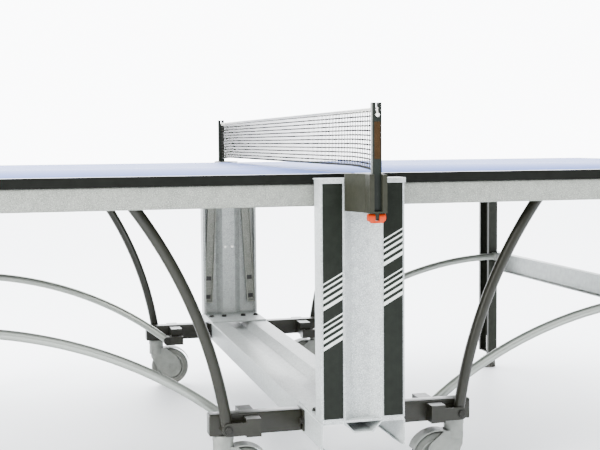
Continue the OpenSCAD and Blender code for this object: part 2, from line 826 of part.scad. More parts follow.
module hinge_brackets() color(dark_olive)
  both_sides() {
    hinge_bracket(arm_top, y_arm, arm_d, pin_d);
    hinge_bracket(leg_top, y_leg, leg_d, leg_pin_d);
  }

module pivot_brackets() color(dark_olive)
  both_sides() {
    y_tip = y_roller + roller_w / 2 + axle_tip;
    y_collar = y_roller - roller_w / 2 - collar_gap_y;
    translate([roller_flat.x - pivot_plate_w / 2, y_rail, z_apron + pivot_plate_margin])
      cube([pivot_plate_w, pivot_plate_t, rail_h - 2 * pivot_plate_margin]);
    cross_pin(roller_flat, (y_rail + y_tip) / 2, roller_axle_d, y_tip - y_rail);
    cross_pin(roller_flat, (y_rail + y_collar) / 2, roller_collar_d, y_collar - y_rail);
  }

module rollers() color(black)
  both_sides() difference() {
    cross_pin(roller_flat, y_roller, roller_d, roller_w);
    cross_pin(roller_flat, y_roller, roller_axle_d + 2 * pin_clear, roller_w + 2);
  }

module arms() color(dark_olive)
  both_sides() bowed_tube(arm_foot, arm_top, arm_bow, y_arm, arm_d, arm_eye_d, pin_d);

module links() color(silver)
  both_sides() bowed_tube(link_foot, link_top, link_bow, y_link, link_d, link_eye_d, leg_pin_d);

// Leg section, open towards the middle of the table
module leg_section() {
  x = leg_w / 2;
  y = leg_d / 2;
  t = leg_t;
  flange = [[-x, y - leg_lip], [-x, y], [x, y]];
  inside = [[x - t, y - t], [t - x, y - t], [t - x, y - leg_lip]];
  polygon(concat(flange, [for (i = [2:-1:0]) [flange[i].x, -flange[i].y]],
    [for (i = [2:-1:0]) [inside[i].x, -inside[i].y]], inside));
}

module leg() {
  y_head = y_link - link_d / 2 - eye_gap;
  difference() {
    translate([leg_top.x, y_leg, leg_foot_h]) union() {
      linear_extrude(leg_top.y + leg_crown - leg_foot_h) leg_section();
      translate([-leg_w / 2, -leg_d / 2, 0]) cube([leg_w, leg_d, foot_plate_leg_t]);
    }
    cross_pin(leg_top, y_leg, leg_pin_d + 2 * pin_clear, leg_d + 2);
    translate([leg_top.x, y_leg, leg_foot_h - 1])
      cylinder(d = stud_d + 2 * pin_clear, h = foot_plate_leg_t + 2);
  }
  // stub pin for the link, with its spacer and head
  cross_pin(link_top, (y_head + y_leg - leg_d / 2 + leg_t) / 2, leg_pin_d,
            y_leg - leg_d / 2 + leg_t - y_head + 0.1);
  cross_pin(link_top, y_leg - leg_d / 2 - leg_spacer / 2, leg_pin_head_d, leg_spacer);
  cross_pin(link_top, y_head - leg_pin_head_h / 2, leg_pin_head_d, leg_pin_head_h);
}

module legs() color(black)
  both_sides() leg();

module leg_beam() color(silver) {
  x = leg_top.x + leg_w / 2;
  y = y_leg + leg_d / 2;
  difference() {
    translate([x, -y, leg_beam_h]) cube([leg_beam_deep, 2 * y, leg_beam_tall]);
    translate([x - 1, -y - 1, leg_beam_h + leg_t])
      cube([leg_beam_deep + 1 - leg_t, 2 * y + 2, leg_beam_tall - 2 * leg_t]);
  }
}

module foot() color(black)
  translate([leg_top.x, y_leg, 0]) {
    linear_extrude(foot_h - foot_shoulder) circle(d = foot_w, $fn = 8);
    cylinder(d = foot_neck_d, h = foot_h);
    translate([0, 0, foot_h]) cylinder(d = 2 * stud_d, h = foot_nut_h, $fn = 6);
    cylinder(d = stud_d, h = leg_foot_h + stud_up);
  }

module right_board() board();
module right_edge_band() edge_band();
module right_side_rails() side_rails();
module right_end_rails() end_rails();
module right_crossmembers() crossmembers();
module right_hinge_brackets() hinge_brackets();
module right_pivot_brackets() pivot_brackets();
module right_rollers() rollers();
module right_arms() arms();
module right_links() links();
module right_legs() legs();
module right_leg_beam() leg_beam();
module right_far_foot() foot();
module right_near_foot() mirror([0, 1, 0]) foot();

module left_board() mirror([1, 0, 0]) board();
module left_edge_band() mirror([1, 0, 0]) edge_band();
module left_side_rails() mirror([1, 0, 0]) side_rails();
module left_end_rails() mirror([1, 0, 0]) end_rails();
module left_crossmembers() mirror([1, 0, 0]) crossmembers();
module left_hinge_brackets() mirror([1, 0, 0]) hinge_brackets();
module left_pivot_brackets() mirror([1, 0, 0]) pivot_brackets();
module left_rollers() mirror([1, 0, 0]) rollers();
module left_arms() mirror([1, 0, 0]) arms();
module left_links() mirror([1, 0, 0]) links();
module left_legs() mirror([1, 0, 0]) legs();
module left_leg_beam() mirror([1, 0, 0]) leg_beam();
module left_far_foot() mirror([1, 0, 0]) foot();
module left_near_foot() mirror([1, 0, 0]) mirror([0, 1, 0]) foot();

base_beam();
cross_bars();
end_brackets();
near_pillar();
far_pillar();
pillar_caps();
pillar_panels();
guide_tracks();
track_inserts();
foot_plates();
chassis_bolts();
pillar_screws();
near_net_bracket();
far_net_bracket();
near_net_post();
far_net_post();
net();
net_top_cord();
cord_tails();
near_release_lever();
far_release_lever();
near_left_caster_fork();
near_right_caster_fork();
far_left_caster_fork();
far_right_caster_fork();
near_left_caster_wheel();
near_right_caster_wheel();
far_left_caster_wheel();
far_right_caster_wheel();
left_board();
left_edge_band();
left_side_rails();
left_end_rails();
left_crossmembers();
left_hinge_brackets();
left_pivot_brackets();
left_rollers();
left_arms();
left_links();
left_legs();
left_leg_beam();
left_near_foot();
left_far_foot();
right_board();
right_edge_band();
right_side_rails();
right_end_rails();
right_crossmembers();
right_hinge_brackets();
right_pivot_brackets();
right_rollers();
right_arms();
right_links();
right_legs();
right_leg_beam();
right_near_foot();
right_far_foot();
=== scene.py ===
"""Looks of a folding competition table for table tennis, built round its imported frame.

Every length is in metres. X runs along the table, Y across it and Z up, with the origin on
the floor under the middle of the net. Each sub-assembly is a class whose fields hold its
sizes; places come from the boxes of the frame's nodes.
"""

import json
import logging
import math
from collections.abc import Iterable, Sequence
from dataclasses import dataclass
from enum import Enum

import bmesh
import bpy
from mathutils import Matrix, Vector


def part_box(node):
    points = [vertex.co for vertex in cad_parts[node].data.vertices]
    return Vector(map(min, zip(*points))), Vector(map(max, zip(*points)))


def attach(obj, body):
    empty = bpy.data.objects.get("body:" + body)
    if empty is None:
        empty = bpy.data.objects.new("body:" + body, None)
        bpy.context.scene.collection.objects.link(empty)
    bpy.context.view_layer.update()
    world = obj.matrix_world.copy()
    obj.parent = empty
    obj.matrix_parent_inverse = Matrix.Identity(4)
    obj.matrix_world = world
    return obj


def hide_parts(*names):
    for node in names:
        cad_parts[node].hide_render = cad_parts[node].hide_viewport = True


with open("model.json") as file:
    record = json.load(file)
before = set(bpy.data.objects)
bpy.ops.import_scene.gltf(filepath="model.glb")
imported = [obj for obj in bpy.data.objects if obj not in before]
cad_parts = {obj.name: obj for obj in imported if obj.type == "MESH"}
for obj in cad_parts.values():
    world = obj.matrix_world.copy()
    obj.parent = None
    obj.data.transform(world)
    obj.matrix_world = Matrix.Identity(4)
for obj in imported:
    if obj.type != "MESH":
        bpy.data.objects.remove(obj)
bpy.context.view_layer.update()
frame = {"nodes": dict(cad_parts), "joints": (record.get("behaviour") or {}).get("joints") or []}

LOG = logging.getLogger("table")

Point = tuple[float, float]
Colour = tuple[float, float, float]


class Side(Enum):
    """One half of the table, by the sign of its X."""

    LEFT = -1
    RIGHT = 1

    @property
    def word(self) -> str:
        """The half's name as the frame spells it."""
        return self.name.lower()


class Flank(Enum):
    """One long side of the table, by the sign of its Y."""

    NEAR = -1
    FAR = 1

    @property
    def word(self) -> str:
        """The side's name as the frame spells it."""
        return self.name.lower()


class Plane(Enum):
    """How a flat outline (u, v) and its run w lie in the frame."""

    ALONG_X = "x"
    ALONG_Y = "y"
    ALONG_Z = "z"

    def place(self, u: float, v: float, w: float) -> Vector:
        """Puts an outline's point in the frame.

        Args:
            u: First outline coordinate.
            v: Second outline coordinate.
            w: Distance along the run.

        Returns:
            The point in the row frame.
        """
        if self is Plane.ALONG_X:
            return Vector((w, u, v))
        if self is Plane.ALONG_Y:
            return Vector((u, w, v))
        return Vector((u, v, w))


# ---------------------------------------------------------------- shader trees


class Shader:
    """A material's node tree while it is being wired."""

    def __init__(self, name: str) -> None:
        """Starts a material with one Principled shader.

        Args:
            name: The material's name.
        """
        self.material = bpy.data.materials.new(name)
        self.material.use_nodes = True
        self.tree = self.material.node_tree
        self.surface = self.tree.nodes["Principled BSDF"]
        self.coords = self.add("ShaderNodeTexCoord").outputs["Object"]

    def add(self, kind: str, **settings: object) -> bpy.types.Node:
        """Adds a node.

        Args:
            kind: The node's type name.
            **settings: Node properties to set.

        Returns:
            The new node.
        """
        node = self.tree.nodes.new(kind)
        for key, value in settings.items():
            setattr(node, key, value)
        return node

    def link(self, source: bpy.types.NodeSocket, target: bpy.types.NodeSocket) -> None:
        """Joins two sockets."""
        self.tree.links.new(source, target)

    def math(self, operation: str, first: object, second: object = 0.0) -> bpy.types.NodeSocket:
        """Adds a Math node.

        Args:
            operation: The node's operation.
            first: A socket or a number.
            second: A socket or a number.

        Returns:
            The result's socket.
        """
        node = self.add("ShaderNodeMath", operation=operation)
        for socket, value in zip(node.inputs, (first, second)):
            if isinstance(value, bpy.types.NodeSocket):
                self.link(value, socket)
            else:
                socket.default_value = value
        return node.outputs[0]

    def noise(self, scale: float, detail: float = 3.0, stretch: Vector | None = None) -> bpy.types.NodeSocket:
        """Adds a noise texture in object space.

        Args:
            scale: Cells per metre.
            detail: Octaves of the noise.
            stretch: Scale of each axis, for a brushed look.

        Returns:
            The noise value's socket.
        """
        node = self.add("ShaderNodeTexNoise")
        node.inputs["Scale"].default_value = scale
        node.inputs["Detail"].default_value = detail
        if stretch is None:
            self.link(self.coords, node.inputs["Vector"])
        else:
            mapping = self.add("ShaderNodeMapping")
            mapping.inputs["Scale"].default_value = stretch
            self.link(self.coords, mapping.inputs["Vector"])
            self.link(mapping.outputs[0], node.inputs["Vector"])
        return node.outputs[0]

    def specks(self, scale: float, reach: float) -> bpy.types.NodeSocket:
        """Marks small dots scattered over a surface.

        Args:
            scale: Dots per metre along a line.
            reach: Radius of a dot, as a share of a cell.

        Returns:
            A socket that is 1 in a dot and 0 outside it.
        """
        node = self.add("ShaderNodeTexVoronoi")
        node.inputs["Scale"].default_value = scale
        self.link(self.coords, node.inputs["Vector"])
        return self.math("LESS_THAN", node.outputs["Distance"], reach)

    def ramp(self, value: bpy.types.NodeSocket, low: float, high: float) -> bpy.types.NodeSocket:
        """Stretches a value so that low becomes 0 and high becomes 1.

        Args:
            value: The socket to stretch.
            low: Value that becomes 0.
            high: Value that becomes 1.

        Returns:
            The stretched value's socket.
        """
        node = self.add("ShaderNodeMapRange", clamp=True)
        node.inputs["From Min"].default_value = low
        node.inputs["From Max"].default_value = high
        self.link(value, node.inputs["Value"])
        return node.outputs[0]

    def mix(self, share: bpy.types.NodeSocket, first: object, second: object) -> bpy.types.NodeSocket:
        """Mixes two colours.

        Args:
            share: Socket that is 0 for the first colour and 1 for the second.
            first: A colour or a socket.
            second: A colour or a socket.

        Returns:
            The mixed colour's socket.
        """
        node = self.add("ShaderNodeMix", data_type="RGBA")
        self.link(share, node.inputs[0])
        for index, value in ((6, first), (7, second)):
            if isinstance(value, bpy.types.NodeSocket):
                self.link(value, node.inputs[index])
            else:
                node.inputs[index].default_value = (*value, 1.0)
        return node.outputs[2]

    def axis(self, name: str) -> bpy.types.NodeSocket:
        """Gives one object coordinate, such as "X"."""
        node = self.add("ShaderNodeSeparateXYZ")
        self.link(self.coords, node.inputs[0])
        return node.outputs[name]

    def bump(self, height: bpy.types.NodeSocket, depth: float) -> None:
        """Raises the surface by a height map.

        Args:
            height: Socket from 0 to 1.
            depth: Height of 1 in metres.
        """
        node = self.add("ShaderNodeBump")
        node.inputs["Distance"].default_value = depth
        node.inputs["Strength"].default_value = 1.0
        self.link(height, node.inputs["Height"])
        self.link(node.outputs[0], self.surface.inputs["Normal"])

    def set(self, **values: float) -> None:
        """Sets the shader's own sockets, named with underscores for spaces."""
        for key, value in values.items():
            self.surface.inputs[key.replace("_", " ")].default_value = value


def shaded(colour: Colour, share: float) -> Colour:
    """Brightens or darkens a colour by a share of itself."""
    return tuple(value * share for value in colour)


@dataclass(frozen=True)
class Finish:
    """A moulded or painted surface with a faint mottle and an orange-peel skin."""

    name: str
    slot: str
    colour: Colour
    roughness: float = 0.45
    metallic: float = 0.0
    coat: float = 0.0
    gloss: float = 0.3
    mottle: float = 0.12
    mottle_scale: float = 60.0
    skin_scale: float = 900.0
    skin_depth: float = 0.00006

    def colours(self, shader: Shader) -> bpy.types.NodeSocket:
        """Wires the surface's colour.

        Args:
            shader: The material being wired.

        Returns:
            The colour's socket.
        """
        patches = shader.ramp(shader.noise(self.mottle_scale), 0.3, 0.7)
        return shader.mix(patches, shaded(self.colour, 1 - self.mottle),
                          shaded(self.colour, 1 + self.mottle))

    def relief(self, shader: Shader) -> None:
        """Wires the surface's fine relief."""
        shader.bump(shader.noise(self.skin_scale, 2.0), self.skin_depth)

    def build(self) -> bpy.types.Material:
        """Makes the material.

        Returns:
            The finished material.
        """
        shader = Shader(self.name)
        shader.set(Metallic=self.metallic, Specular_IOR_Level=self.gloss, Coat_Weight=self.coat,
                   Coat_Roughness=0.2)
        shader.link(self.colours(shader), shader.surface.inputs["Base Color"])
        base = shader.ramp(shader.noise(self.mottle_scale * 3), 0.2, 0.8)
        spread = shader.math("MULTIPLY_ADD", base, 0.12)
        spread.node.inputs[2].default_value = self.roughness - 0.06
        shader.link(spread, shader.surface.inputs["Roughness"])
        self.relief(shader)
        return shader.material


@dataclass(frozen=True)
class SpeckledCoat(Finish):
    """Textured powder coat with light and dark specks."""

    speck_scale: float = 420.0
    dark_share: float = 0.5
    light_share: float = 1.6

    def colours(self, shader: Shader) -> bpy.types.NodeSocket:
        """Adds the specks over the mottle and returns the colour's socket."""
        base = super().colours(shader)
        dark = shader.specks(self.speck_scale, 0.30)
        light = shader.specks(self.speck_scale * 0.77, 0.30)
        darkened = shader.mix(dark, base, shaded(self.colour, self.dark_share))
        return shader.mix(light, darkened, shaded(self.colour, self.light_share))


@dataclass(frozen=True)
class BrushedMetal(Finish):
    """Drawn or brushed metal with fine lines along one axis."""

    grain: tuple[float, float, float] = (30.0, 900.0, 900.0)

    def colours(self, shader: Shader) -> bpy.types.NodeSocket:
        """Streaks the metal along its grain and returns the colour's socket."""
        streaks = shader.ramp(shader.noise(1.0, 4.0, Vector(self.grain)), 0.35, 0.65)
        return shader.mix(streaks, shaded(self.colour, 1 - self.mottle), self.colour)

    def relief(self, shader: Shader) -> None:
        """Raises the grain's lines."""
        shader.bump(shader.noise(1.0, 4.0, Vector(self.grain)), self.skin_depth)


@dataclass(frozen=True)
class WornRubber(Finish):
    """Rubber or plastic that has picked up dust towards the floor."""

    dust: Colour = (0.46, 0.44, 0.40)
    dust_top: float = 0.05

    def colours(self, shader: Shader) -> bpy.types.NodeSocket:
        """Dusts the lowest part and returns the colour's socket."""
        base = super().colours(shader)
        low = shader.ramp(shader.axis("Z"), self.dust_top, 0.0)
        patchy = shader.ramp(shader.noise(90.0, 5.0), 0.35, 0.75)
        share = shader.math("MULTIPLY", shader.math("MULTIPLY", low, patchy), 0.5)
        return shader.mix(share, base, self.dust)


@dataclass(frozen=True)
class PlayingPaint(Finish):
    """Matt playing surface with white border and centre lines."""

    half_length: float = 1.37
    half_width: float = 0.7625
    border: float = 0.02
    centre: float = 0.003
    line_colour: Colour = (0.88, 0.89, 0.90)

    def colours(self, shader: Shader) -> bpy.types.NodeSocket:
        """Paints the lines over the blue and returns the colour's socket."""
        base = super().colours(shader)
        along = shader.math("ABSOLUTE", shader.axis("X"))
        across = shader.math("ABSOLUTE", shader.axis("Y"))
        ends = shader.math("GREATER_THAN", along, self.half_length - self.border)
        sides = shader.math("GREATER_THAN", across, self.half_width - self.border)
        middle = shader.math("LESS_THAN", across, self.centre / 2)
        lines = shader.math("MAXIMUM", shader.math("MAXIMUM", ends, sides), middle)
        return shader.mix(lines, base, self.line_colour)


@dataclass(frozen=True)
class Cord(Finish):
    """Twisted cord, with strands that wind along it."""

    twist: float = 900.0

    def relief(self, shader: Shader) -> None:
        """Raises the strands with a slanting wave."""
        wave = shader.add("ShaderNodeTexWave", wave_type="BANDS", bands_direction="DIAGONAL")
        wave.inputs["Scale"].default_value = self.twist
        wave.inputs["Distortion"].default_value = 1.5
        shader.link(shader.coords, wave.inputs["Vector"])
        shader.bump(wave.outputs[1], self.skin_depth)


class Palette:
    """Every finish of the table, each built once."""

    grey_steel = SpeckledCoat("grey_steel_coat", "grey_steel", (0.165, 0.173, 0.152), 0.5)
    bright_steel = SpeckledCoat("pillar_steel_coat", "grey_steel", (0.30, 0.32, 0.315), 0.42)
    dark_steel = Finish("dark_olive_coat", "dark_steel", (0.009, 0.009, 0.0055), 0.34, gloss=0.22)
    black_steel = Finish("black_leg_coat", "black_steel", (0.015, 0.017, 0.012), 0.4, gloss=0.14)
    silver = BrushedMetal("silver_tube", "silver_steel", (0.25, 0.265, 0.24), 0.34, 0.6)
    beam_silver = Finish("leg_beam_coat", "silver_steel", (0.30, 0.32, 0.31), 0.4, 0.3)
    playing = PlayingPaint("playing_surface_paint", "board_blue", (0.020, 0.062, 0.25), 0.5,
                           gloss=0.22, mottle=0.05, skin_scale=1500.0, skin_depth=0.00003)
    edge = Finish("edge_band_black", "edge_black", (0.0055, 0.006, 0.005), 0.5, gloss=0.03)
    panel = Finish("panel_black", "panel_black", (0.007, 0.0085, 0.0065), 0.35, gloss=0.06)
    stripe = Finish("panel_stripe_white", "panel_black", (0.45, 0.47, 0.44), 0.45)
    zinc = BrushedMetal("zinc_plate", "zinc_fastener", (0.42, 0.42, 0.40), 0.36, 0.9)
    black_bolt = Finish("blackened_bolt", "black_fastener", (0.014, 0.014, 0.012), 0.4, 0.2, gloss=0.12)
    caster = WornRubber("caster_plastic", "caster_plastic", (0.16, 0.168, 0.152), 0.46)
    tyre = WornRubber("caster_tyre", "wheel_grey", (0.10, 0.104, 0.092), 0.7)
    hub = WornRubber("caster_hub", "wheel_grey", (0.18, 0.188, 0.17), 0.5)
    bracket = Finish("net_bracket_plastic", "bracket_plastic", (0.014, 0.0145, 0.0095), 0.5, gloss=0.12,
                     skin_scale=1600.0, skin_depth=0.00008)
    post = Finish("net_post_black", "post_black", (0.008, 0.010, 0.008), 0.4, gloss=0.08)
    post_edge = BrushedMetal("net_post_edge", "post_black", (0.085, 0.09, 0.08), 0.4, 0.4,
                             grain=(900.0, 900.0, 30.0))
    webbing = Cord("post_webbing", "post_black", (0.024, 0.013, 0.005), 0.8, gloss=0.05)
    orange = Finish("lever_orange", "lever_orange", (0.30, 0.024, 0.002), 0.36, gloss=0.12)
    roller = Finish("roller_nylon", "roller_plastic", (0.018, 0.018, 0.017), 0.4, gloss=0.2)
    rubber = WornRubber("foot_rubber", "rubber_black", (0.014, 0.015, 0.012), 0.75, gloss=0.1)
    net = Cord("net_cord_black", "net_mesh", (0.012, 0.012, 0.010), 0.85, gloss=0.05)
    tape = Cord("net_tape_dark", "net_mesh", (0.014, 0.015, 0.016), 0.8, gloss=0.1)
    white_cord = Cord("white_cord", "cord_white", (0.52, 0.51, 0.46), 0.75)

    _built: dict[str, bpy.types.Material] = {}

    @classmethod
    def material(cls, finish: Finish) -> bpy.types.Material:
        """Gives a finish's material, building it the first time."""
        if finish.name not in cls._built:
            cls._built[finish.name] = finish.build()
        return cls._built[finish.name]


# ---------------------------------------------------------------- meshes


def make_object(name: str, mesh: bpy.types.Mesh) -> bpy.types.Object:
    """Puts a mesh in the scene as an object at the origin."""
    made = bpy.data.objects.new(name, mesh)
    bpy.context.scene.collection.objects.link(made)
    return made


def make_mesh(name: str, shape: bmesh.types.BMesh, sharp: float = 32.0) -> bpy.types.Object:
    """Turns a bmesh into a smooth-shaded object whose hard corners stay sharp.

    Args:
        name: The object's name.
        shape: The mesh; it is freed.
        sharp: Angle in degrees past which an edge stays sharp.

    Returns:
        The new object.
    """
    bmesh.ops.recalc_face_normals(shape, faces=shape.faces)
    for face in shape.faces:
        face.smooth = True
    mesh = bpy.data.meshes.new(name)
    shape.to_mesh(mesh)
    shape.free()
    mesh.set_sharp_from_angle(angle=math.radians(sharp))
    return make_object(name, mesh)


def rounded(path: Sequence[Point], radii: Sequence[float], closed: bool, steps: int = 4) -> list[Point]:
    """Rounds the corners of a path.

    Args:
        path: Corner points.
        radii: Radius at each corner.
        closed: Whether the last point joins the first.
        steps: Points in each rounded corner, less one.

    Returns:
        The path with each corner replaced by a short curve.
    """
    count = len(path)
    result: list[Point] = []
    for index, corner in enumerate(path):
        if radii[index] <= 0 or (not closed and index in (0, count - 1)):
            result.append(corner)
            continue
        here = Vector(corner)
        back = Vector(path[index - 1]) - here
        ahead = Vector(path[(index + 1) % count]) - here
        opening = back.angle(ahead)
        reach = min(radii[index] / math.tan(opening / 2), back.length * 0.49, ahead.length * 0.49)
        start = here + back.normalized() * reach
        stop = here + ahead.normalized() * reach
        for step in range(steps + 1):
            share = step / steps
            point = start.lerp(here, share).lerp(here.lerp(stop, share), share)
            result.append((point.x, point.y))
    return result


def folded_section(path: Sequence[Point], thickness: float, bend: float) -> list[Point]:
    """Outline of a folded sheet, from the line of its outer face.

    Args:
        path: Corners of one face, with the metal on the path's left.
        thickness: Thickness of the sheet.
        bend: Inside radius of the bends.

    Returns:
        The closed outline, with every bend rounded.
    """
    face = [Vector(point) for point in path]
    back: list[Vector] = []
    turns: list[float] = []
    for index, corner in enumerate(face):
        before = (corner - face[index - 1]).normalized() if index else None
        after = (face[index + 1] - corner).normalized() if index + 1 < len(face) else None
        before = before or after
        after = after or before
        middle = before + after
        normal = Vector((-middle.y, middle.x)).normalized()
        turns.append(before.x * after.y - before.y * after.x)
        back.append(corner + normal * thickness / normal.dot(Vector((-after.y, after.x))))
    outer = [bend + thickness if turn < 0 else bend for turn in turns]
    inner = [bend if turn < 0 else bend + thickness for turn in turns]
    first = rounded([tuple(p) for p in face], outer, closed=False)
    second = rounded([tuple(p) for p in back], inner, closed=False)
    return first + second[::-1]


def prism(name: str, outline: Sequence[Point], run: tuple[float, float], plane: Plane,
          holes: Sequence[Sequence[Point]] = ()) -> bpy.types.Object:
    """Pulls an outline along an axis.

    Args:
        name: The object's name.
        outline: Closed outline.
        run: First and last distance along the axis.
        plane: How the outline lies.
        holes: Outlines of through holes; each has as many points as the outline.

    Returns:
        The new object.
    """
    shape = bmesh.new()
    loops = []
    for loop in (outline, *holes):
        ends = [[shape.verts.new(plane.place(u, v, w)) for u, v in loop] for w in run]
        loops.append(ends)
        for index in range(len(loop)):
            after = (index + 1) % len(loop)
            shape.faces.new((ends[0][index], ends[0][after], ends[1][after], ends[1][index]))
    for end in (0, 1):
        if not holes:
            shape.faces.new(loops[0][end])
            continue
        for outer, inner in zip(loops, loops[1:]):
            for index in range(len(outline)):
                after = (index + 1) % len(outline)
                shape.faces.new((outer[end][index], outer[end][after],
                                 inner[end][after], inner[end][index]))
    return make_mesh(name, shape)


def block(name: str, low: Sequence[float], high: Sequence[float], radius: float,
          segments: int = 2) -> bpy.types.Object:
    """A box with rounded edges.

    Args:
        name: The object's name.
        low: Lowest corner.
        high: Highest corner.
        radius: Radius of the edges.
        segments: Faces across each rounded edge.

    Returns:
        The new object.
    """
    shape = bmesh.new()
    bmesh.ops.create_cube(shape, size=1.0)
    low, high = Vector(low), Vector(high)
    for vertex in shape.verts:
        vertex.co = Vector(l + (c + 0.5) * (h - l) for l, c, h in zip(low, vertex.co, high))
    bmesh.ops.bevel(shape, geom=shape.edges[:], offset=radius, segments=segments, profile=0.5,
                    affect="EDGES", clamp_overlap=True)
    return make_mesh(name, shape, 50.0)


def lathe(name: str, profile: Sequence[Point], frame_of: Matrix, steps: int = 48) -> bpy.types.Object:
    """Turns a profile about the local Z axis.

    Args:
        name: The object's name.
        profile: Points (radius, height); a closed profile makes a ring.
        frame_of: Where the local axes lie in the row frame.
        steps: Faces round the axis.

    Returns:
        The new object.
    """
    shape = bmesh.new()
    rings = []
    for radius, height in profile:
        ring = [shape.verts.new(frame_of @ Vector((radius * math.cos(turn), radius * math.sin(turn), height)))
                for turn in (2 * math.pi * step / steps for step in range(steps))]
        rings.append(ring)
    for lower, upper in zip(rings, rings[1:]):
        for step in range(steps):
            after = (step + 1) % steps
            shape.faces.new((lower[step], lower[after], upper[after], upper[step]))
    closed = profile[0] == profile[-1]
    if not closed:
        for ring in (rings[0], rings[-1]):
            shape.faces.new(ring)
    bmesh.ops.remove_doubles(shape, verts=shape.verts, dist=1e-6)
    return make_mesh(name, shape)


def axis_frame(point: Sequence[float], direction: Sequence[float]) -> Matrix:
    """A matrix at a point whose local Z looks along a direction."""
    turn = Vector((0.0, 0.0, 1.0)).rotation_difference(Vector(direction)).to_matrix().to_4x4()
    return Matrix.Translation(Vector(point)) @ turn


def join(name: str, parts: Iterable[bpy.types.Object]) -> bpy.types.Object:
    """Joins plain meshes into one object, keeping their materials.

    Args:
        name: The joined object's name.
        parts: The objects, which are removed.

    Returns:
        The joined object.
    """
    parts = list(parts)
    shape = bmesh.new()
    materials: list[bpy.types.Material] = []
    for part in parts:
        start = len(shape.faces)
        shape.from_mesh(part.data)
        shape.faces.ensure_lookup_table()
        numbers = []
        for material in part.data.materials:
            if material not in materials:
                materials.append(material)
            numbers.append(materials.index(material))
        for face in shape.faces[start:]:
            face.material_index = numbers[face.material_index] if numbers else 0
    mesh = bpy.data.meshes.new(name)
    shape.to_mesh(mesh)
    shape.free()
    for material in materials:
        mesh.materials.append(material)
    for part in parts:
        bpy.data.objects.remove(part)
    return make_object(name, mesh)


def dress(piece: bpy.types.Object, finish: Finish) -> bpy.types.Object:
    """Gives a piece one finish and returns it."""
    piece.data.materials.clear()
    piece.data.materials.append(Palette.material(finish))
    return piece


def fit(piece: bpy.types.Object, body: str, finish: Finish, *stands_for: str) -> bpy.types.Object:
    """Ties a piece to a body of the frame.

    Args:
        piece: The finished piece.
        body: The body that it moves with.
        finish: The finish that dresses a piece that has no material.
        *stands_for: The frame's nodes that the piece replaces.

    Returns:
        The piece.
    """
    if not piece.data.materials:
        dress(piece, finish)
    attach(piece, body)
    if stands_for:
        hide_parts(*stands_for)
    LOG.info("%s rides on %s with %d faces", piece.name, body, len(piece.data.polygons))
    return piece


def repaint(node: str, finish: Finish) -> None:
    """Gives a node that is shown as it is a new finish."""
    dress(frame["nodes"][node], finish)
    LOG.info("%s is repainted with %s", node, finish.name)


# ---------------------------------------------------------------- geometry nodes


class Growth:
    """A Geometry Nodes tree while it is being wired, and its run on an object."""

    KINDS = {float: "NodeSocketFloat", int: "NodeSocketInt", Vector: "NodeSocketVector",
             bpy.types.Material: "NodeSocketMaterial", bpy.types.Object: "NodeSocketObject"}

    def __init__(self, name: str, **inputs: object) -> None:
        """Starts a tree.

        Args:
            name: The tree's name.
            **inputs: Named inputs with the values that they are run with.
        """
        self.tree = bpy.data.node_groups.new(name, "GeometryNodeTree")
        self.values = inputs
        self.tree.interface.new_socket("Geometry", in_out="INPUT", socket_type="NodeSocketGeometry")
        self.tree.interface.new_socket("Geometry", in_out="OUTPUT", socket_type="NodeSocketGeometry")
        self.keys = {}
        for key, value in inputs.items():
            kind = next(word for cls, word in self.KINDS.items() if isinstance(value, cls))
            self.keys[key] = self.tree.interface.new_socket(key, in_out="INPUT", socket_type=kind)
        self.source = self.tree.nodes.new("NodeGroupInput")
        self.result = self.tree.nodes.new("NodeGroupOutput")

    def read(self, key: str) -> bpy.types.NodeSocket:
        """The socket of a named input."""
        return self.source.outputs[key]

    def add(self, kind: str, **settings: object) -> bpy.types.Node:
        """Adds a node and sets its properties."""
        node = self.tree.nodes.new(kind)
        for key, value in settings.items():
            setattr(node, key, value)
        return node

    def wire(self, node: bpy.types.Node, **sockets: object) -> bpy.types.Node:
        """Feeds a node's inputs.

        Args:
            node: The node.
            **sockets: Input names, with underscores for spaces, and a socket or a value each.

        Returns:
            The node.
        """
        for key, value in sockets.items():
            target = node.inputs[key.replace("_", " ")]
            if isinstance(value, bpy.types.NodeSocket):
                self.tree.links.new(value, target)
            else:
                target.default_value = value
        return node

    def sums(self, operation: str, first: object, second: object = 0.0) -> bpy.types.NodeSocket:
        """Adds a Math node and gives its result's socket."""
        node = self.add("ShaderNodeMath", operation=operation)
        for socket, value in zip(node.inputs, (first, second)):
            if isinstance(value, bpy.types.NodeSocket):
                self.tree.links.new(value, socket)
            else:
                socket.default_value = value
        return node.outputs[0]

    def close(self, geometry: bpy.types.NodeSocket) -> None:
        """Ends the tree: instances are realized, shaded and given the tree's material."""
        real = self.wire(self.add("GeometryNodeRealizeInstances"), Geometry=geometry)
        smooth = self.wire(self.add("GeometryNodeSetShadeSmooth"), Geometry=real.outputs[0])
        painted = self.wire(self.add("GeometryNodeSetMaterial"), Geometry=smooth.outputs[0],
                            Material=self.read("Material"))
        self.tree.links.new(painted.outputs[0], self.result.inputs[0])

    def run(self, piece: bpy.types.Object, sharp: float = 32.0) -> bpy.types.Object:
        """Runs the tree on an object and keeps the result as its plain mesh.

        Args:
            piece: The object that the tree starts from.
            sharp: Angle in degrees past which an edge stays sharp.

        Returns:
            The same object, with the grown mesh.
        """
        modifier = piece.modifiers.new(self.tree.name, "NODES")
        modifier.node_group = self.tree
        for key, value in self.values.items():
            modifier[self.keys[key].identifier] = value
        graph = bpy.context.evaluated_depsgraph_get()
        grown = bpy.data.meshes.new_from_object(piece.evaluated_get(graph), depsgraph=graph)
        piece.modifiers.clear()
        piece.data = grown
        grown.name = piece.name
        if not grown.materials:
            grown.materials.append(self.values["Material"])
        grown.set_sharp_from_angle(angle=math.radians(sharp))
        return piece


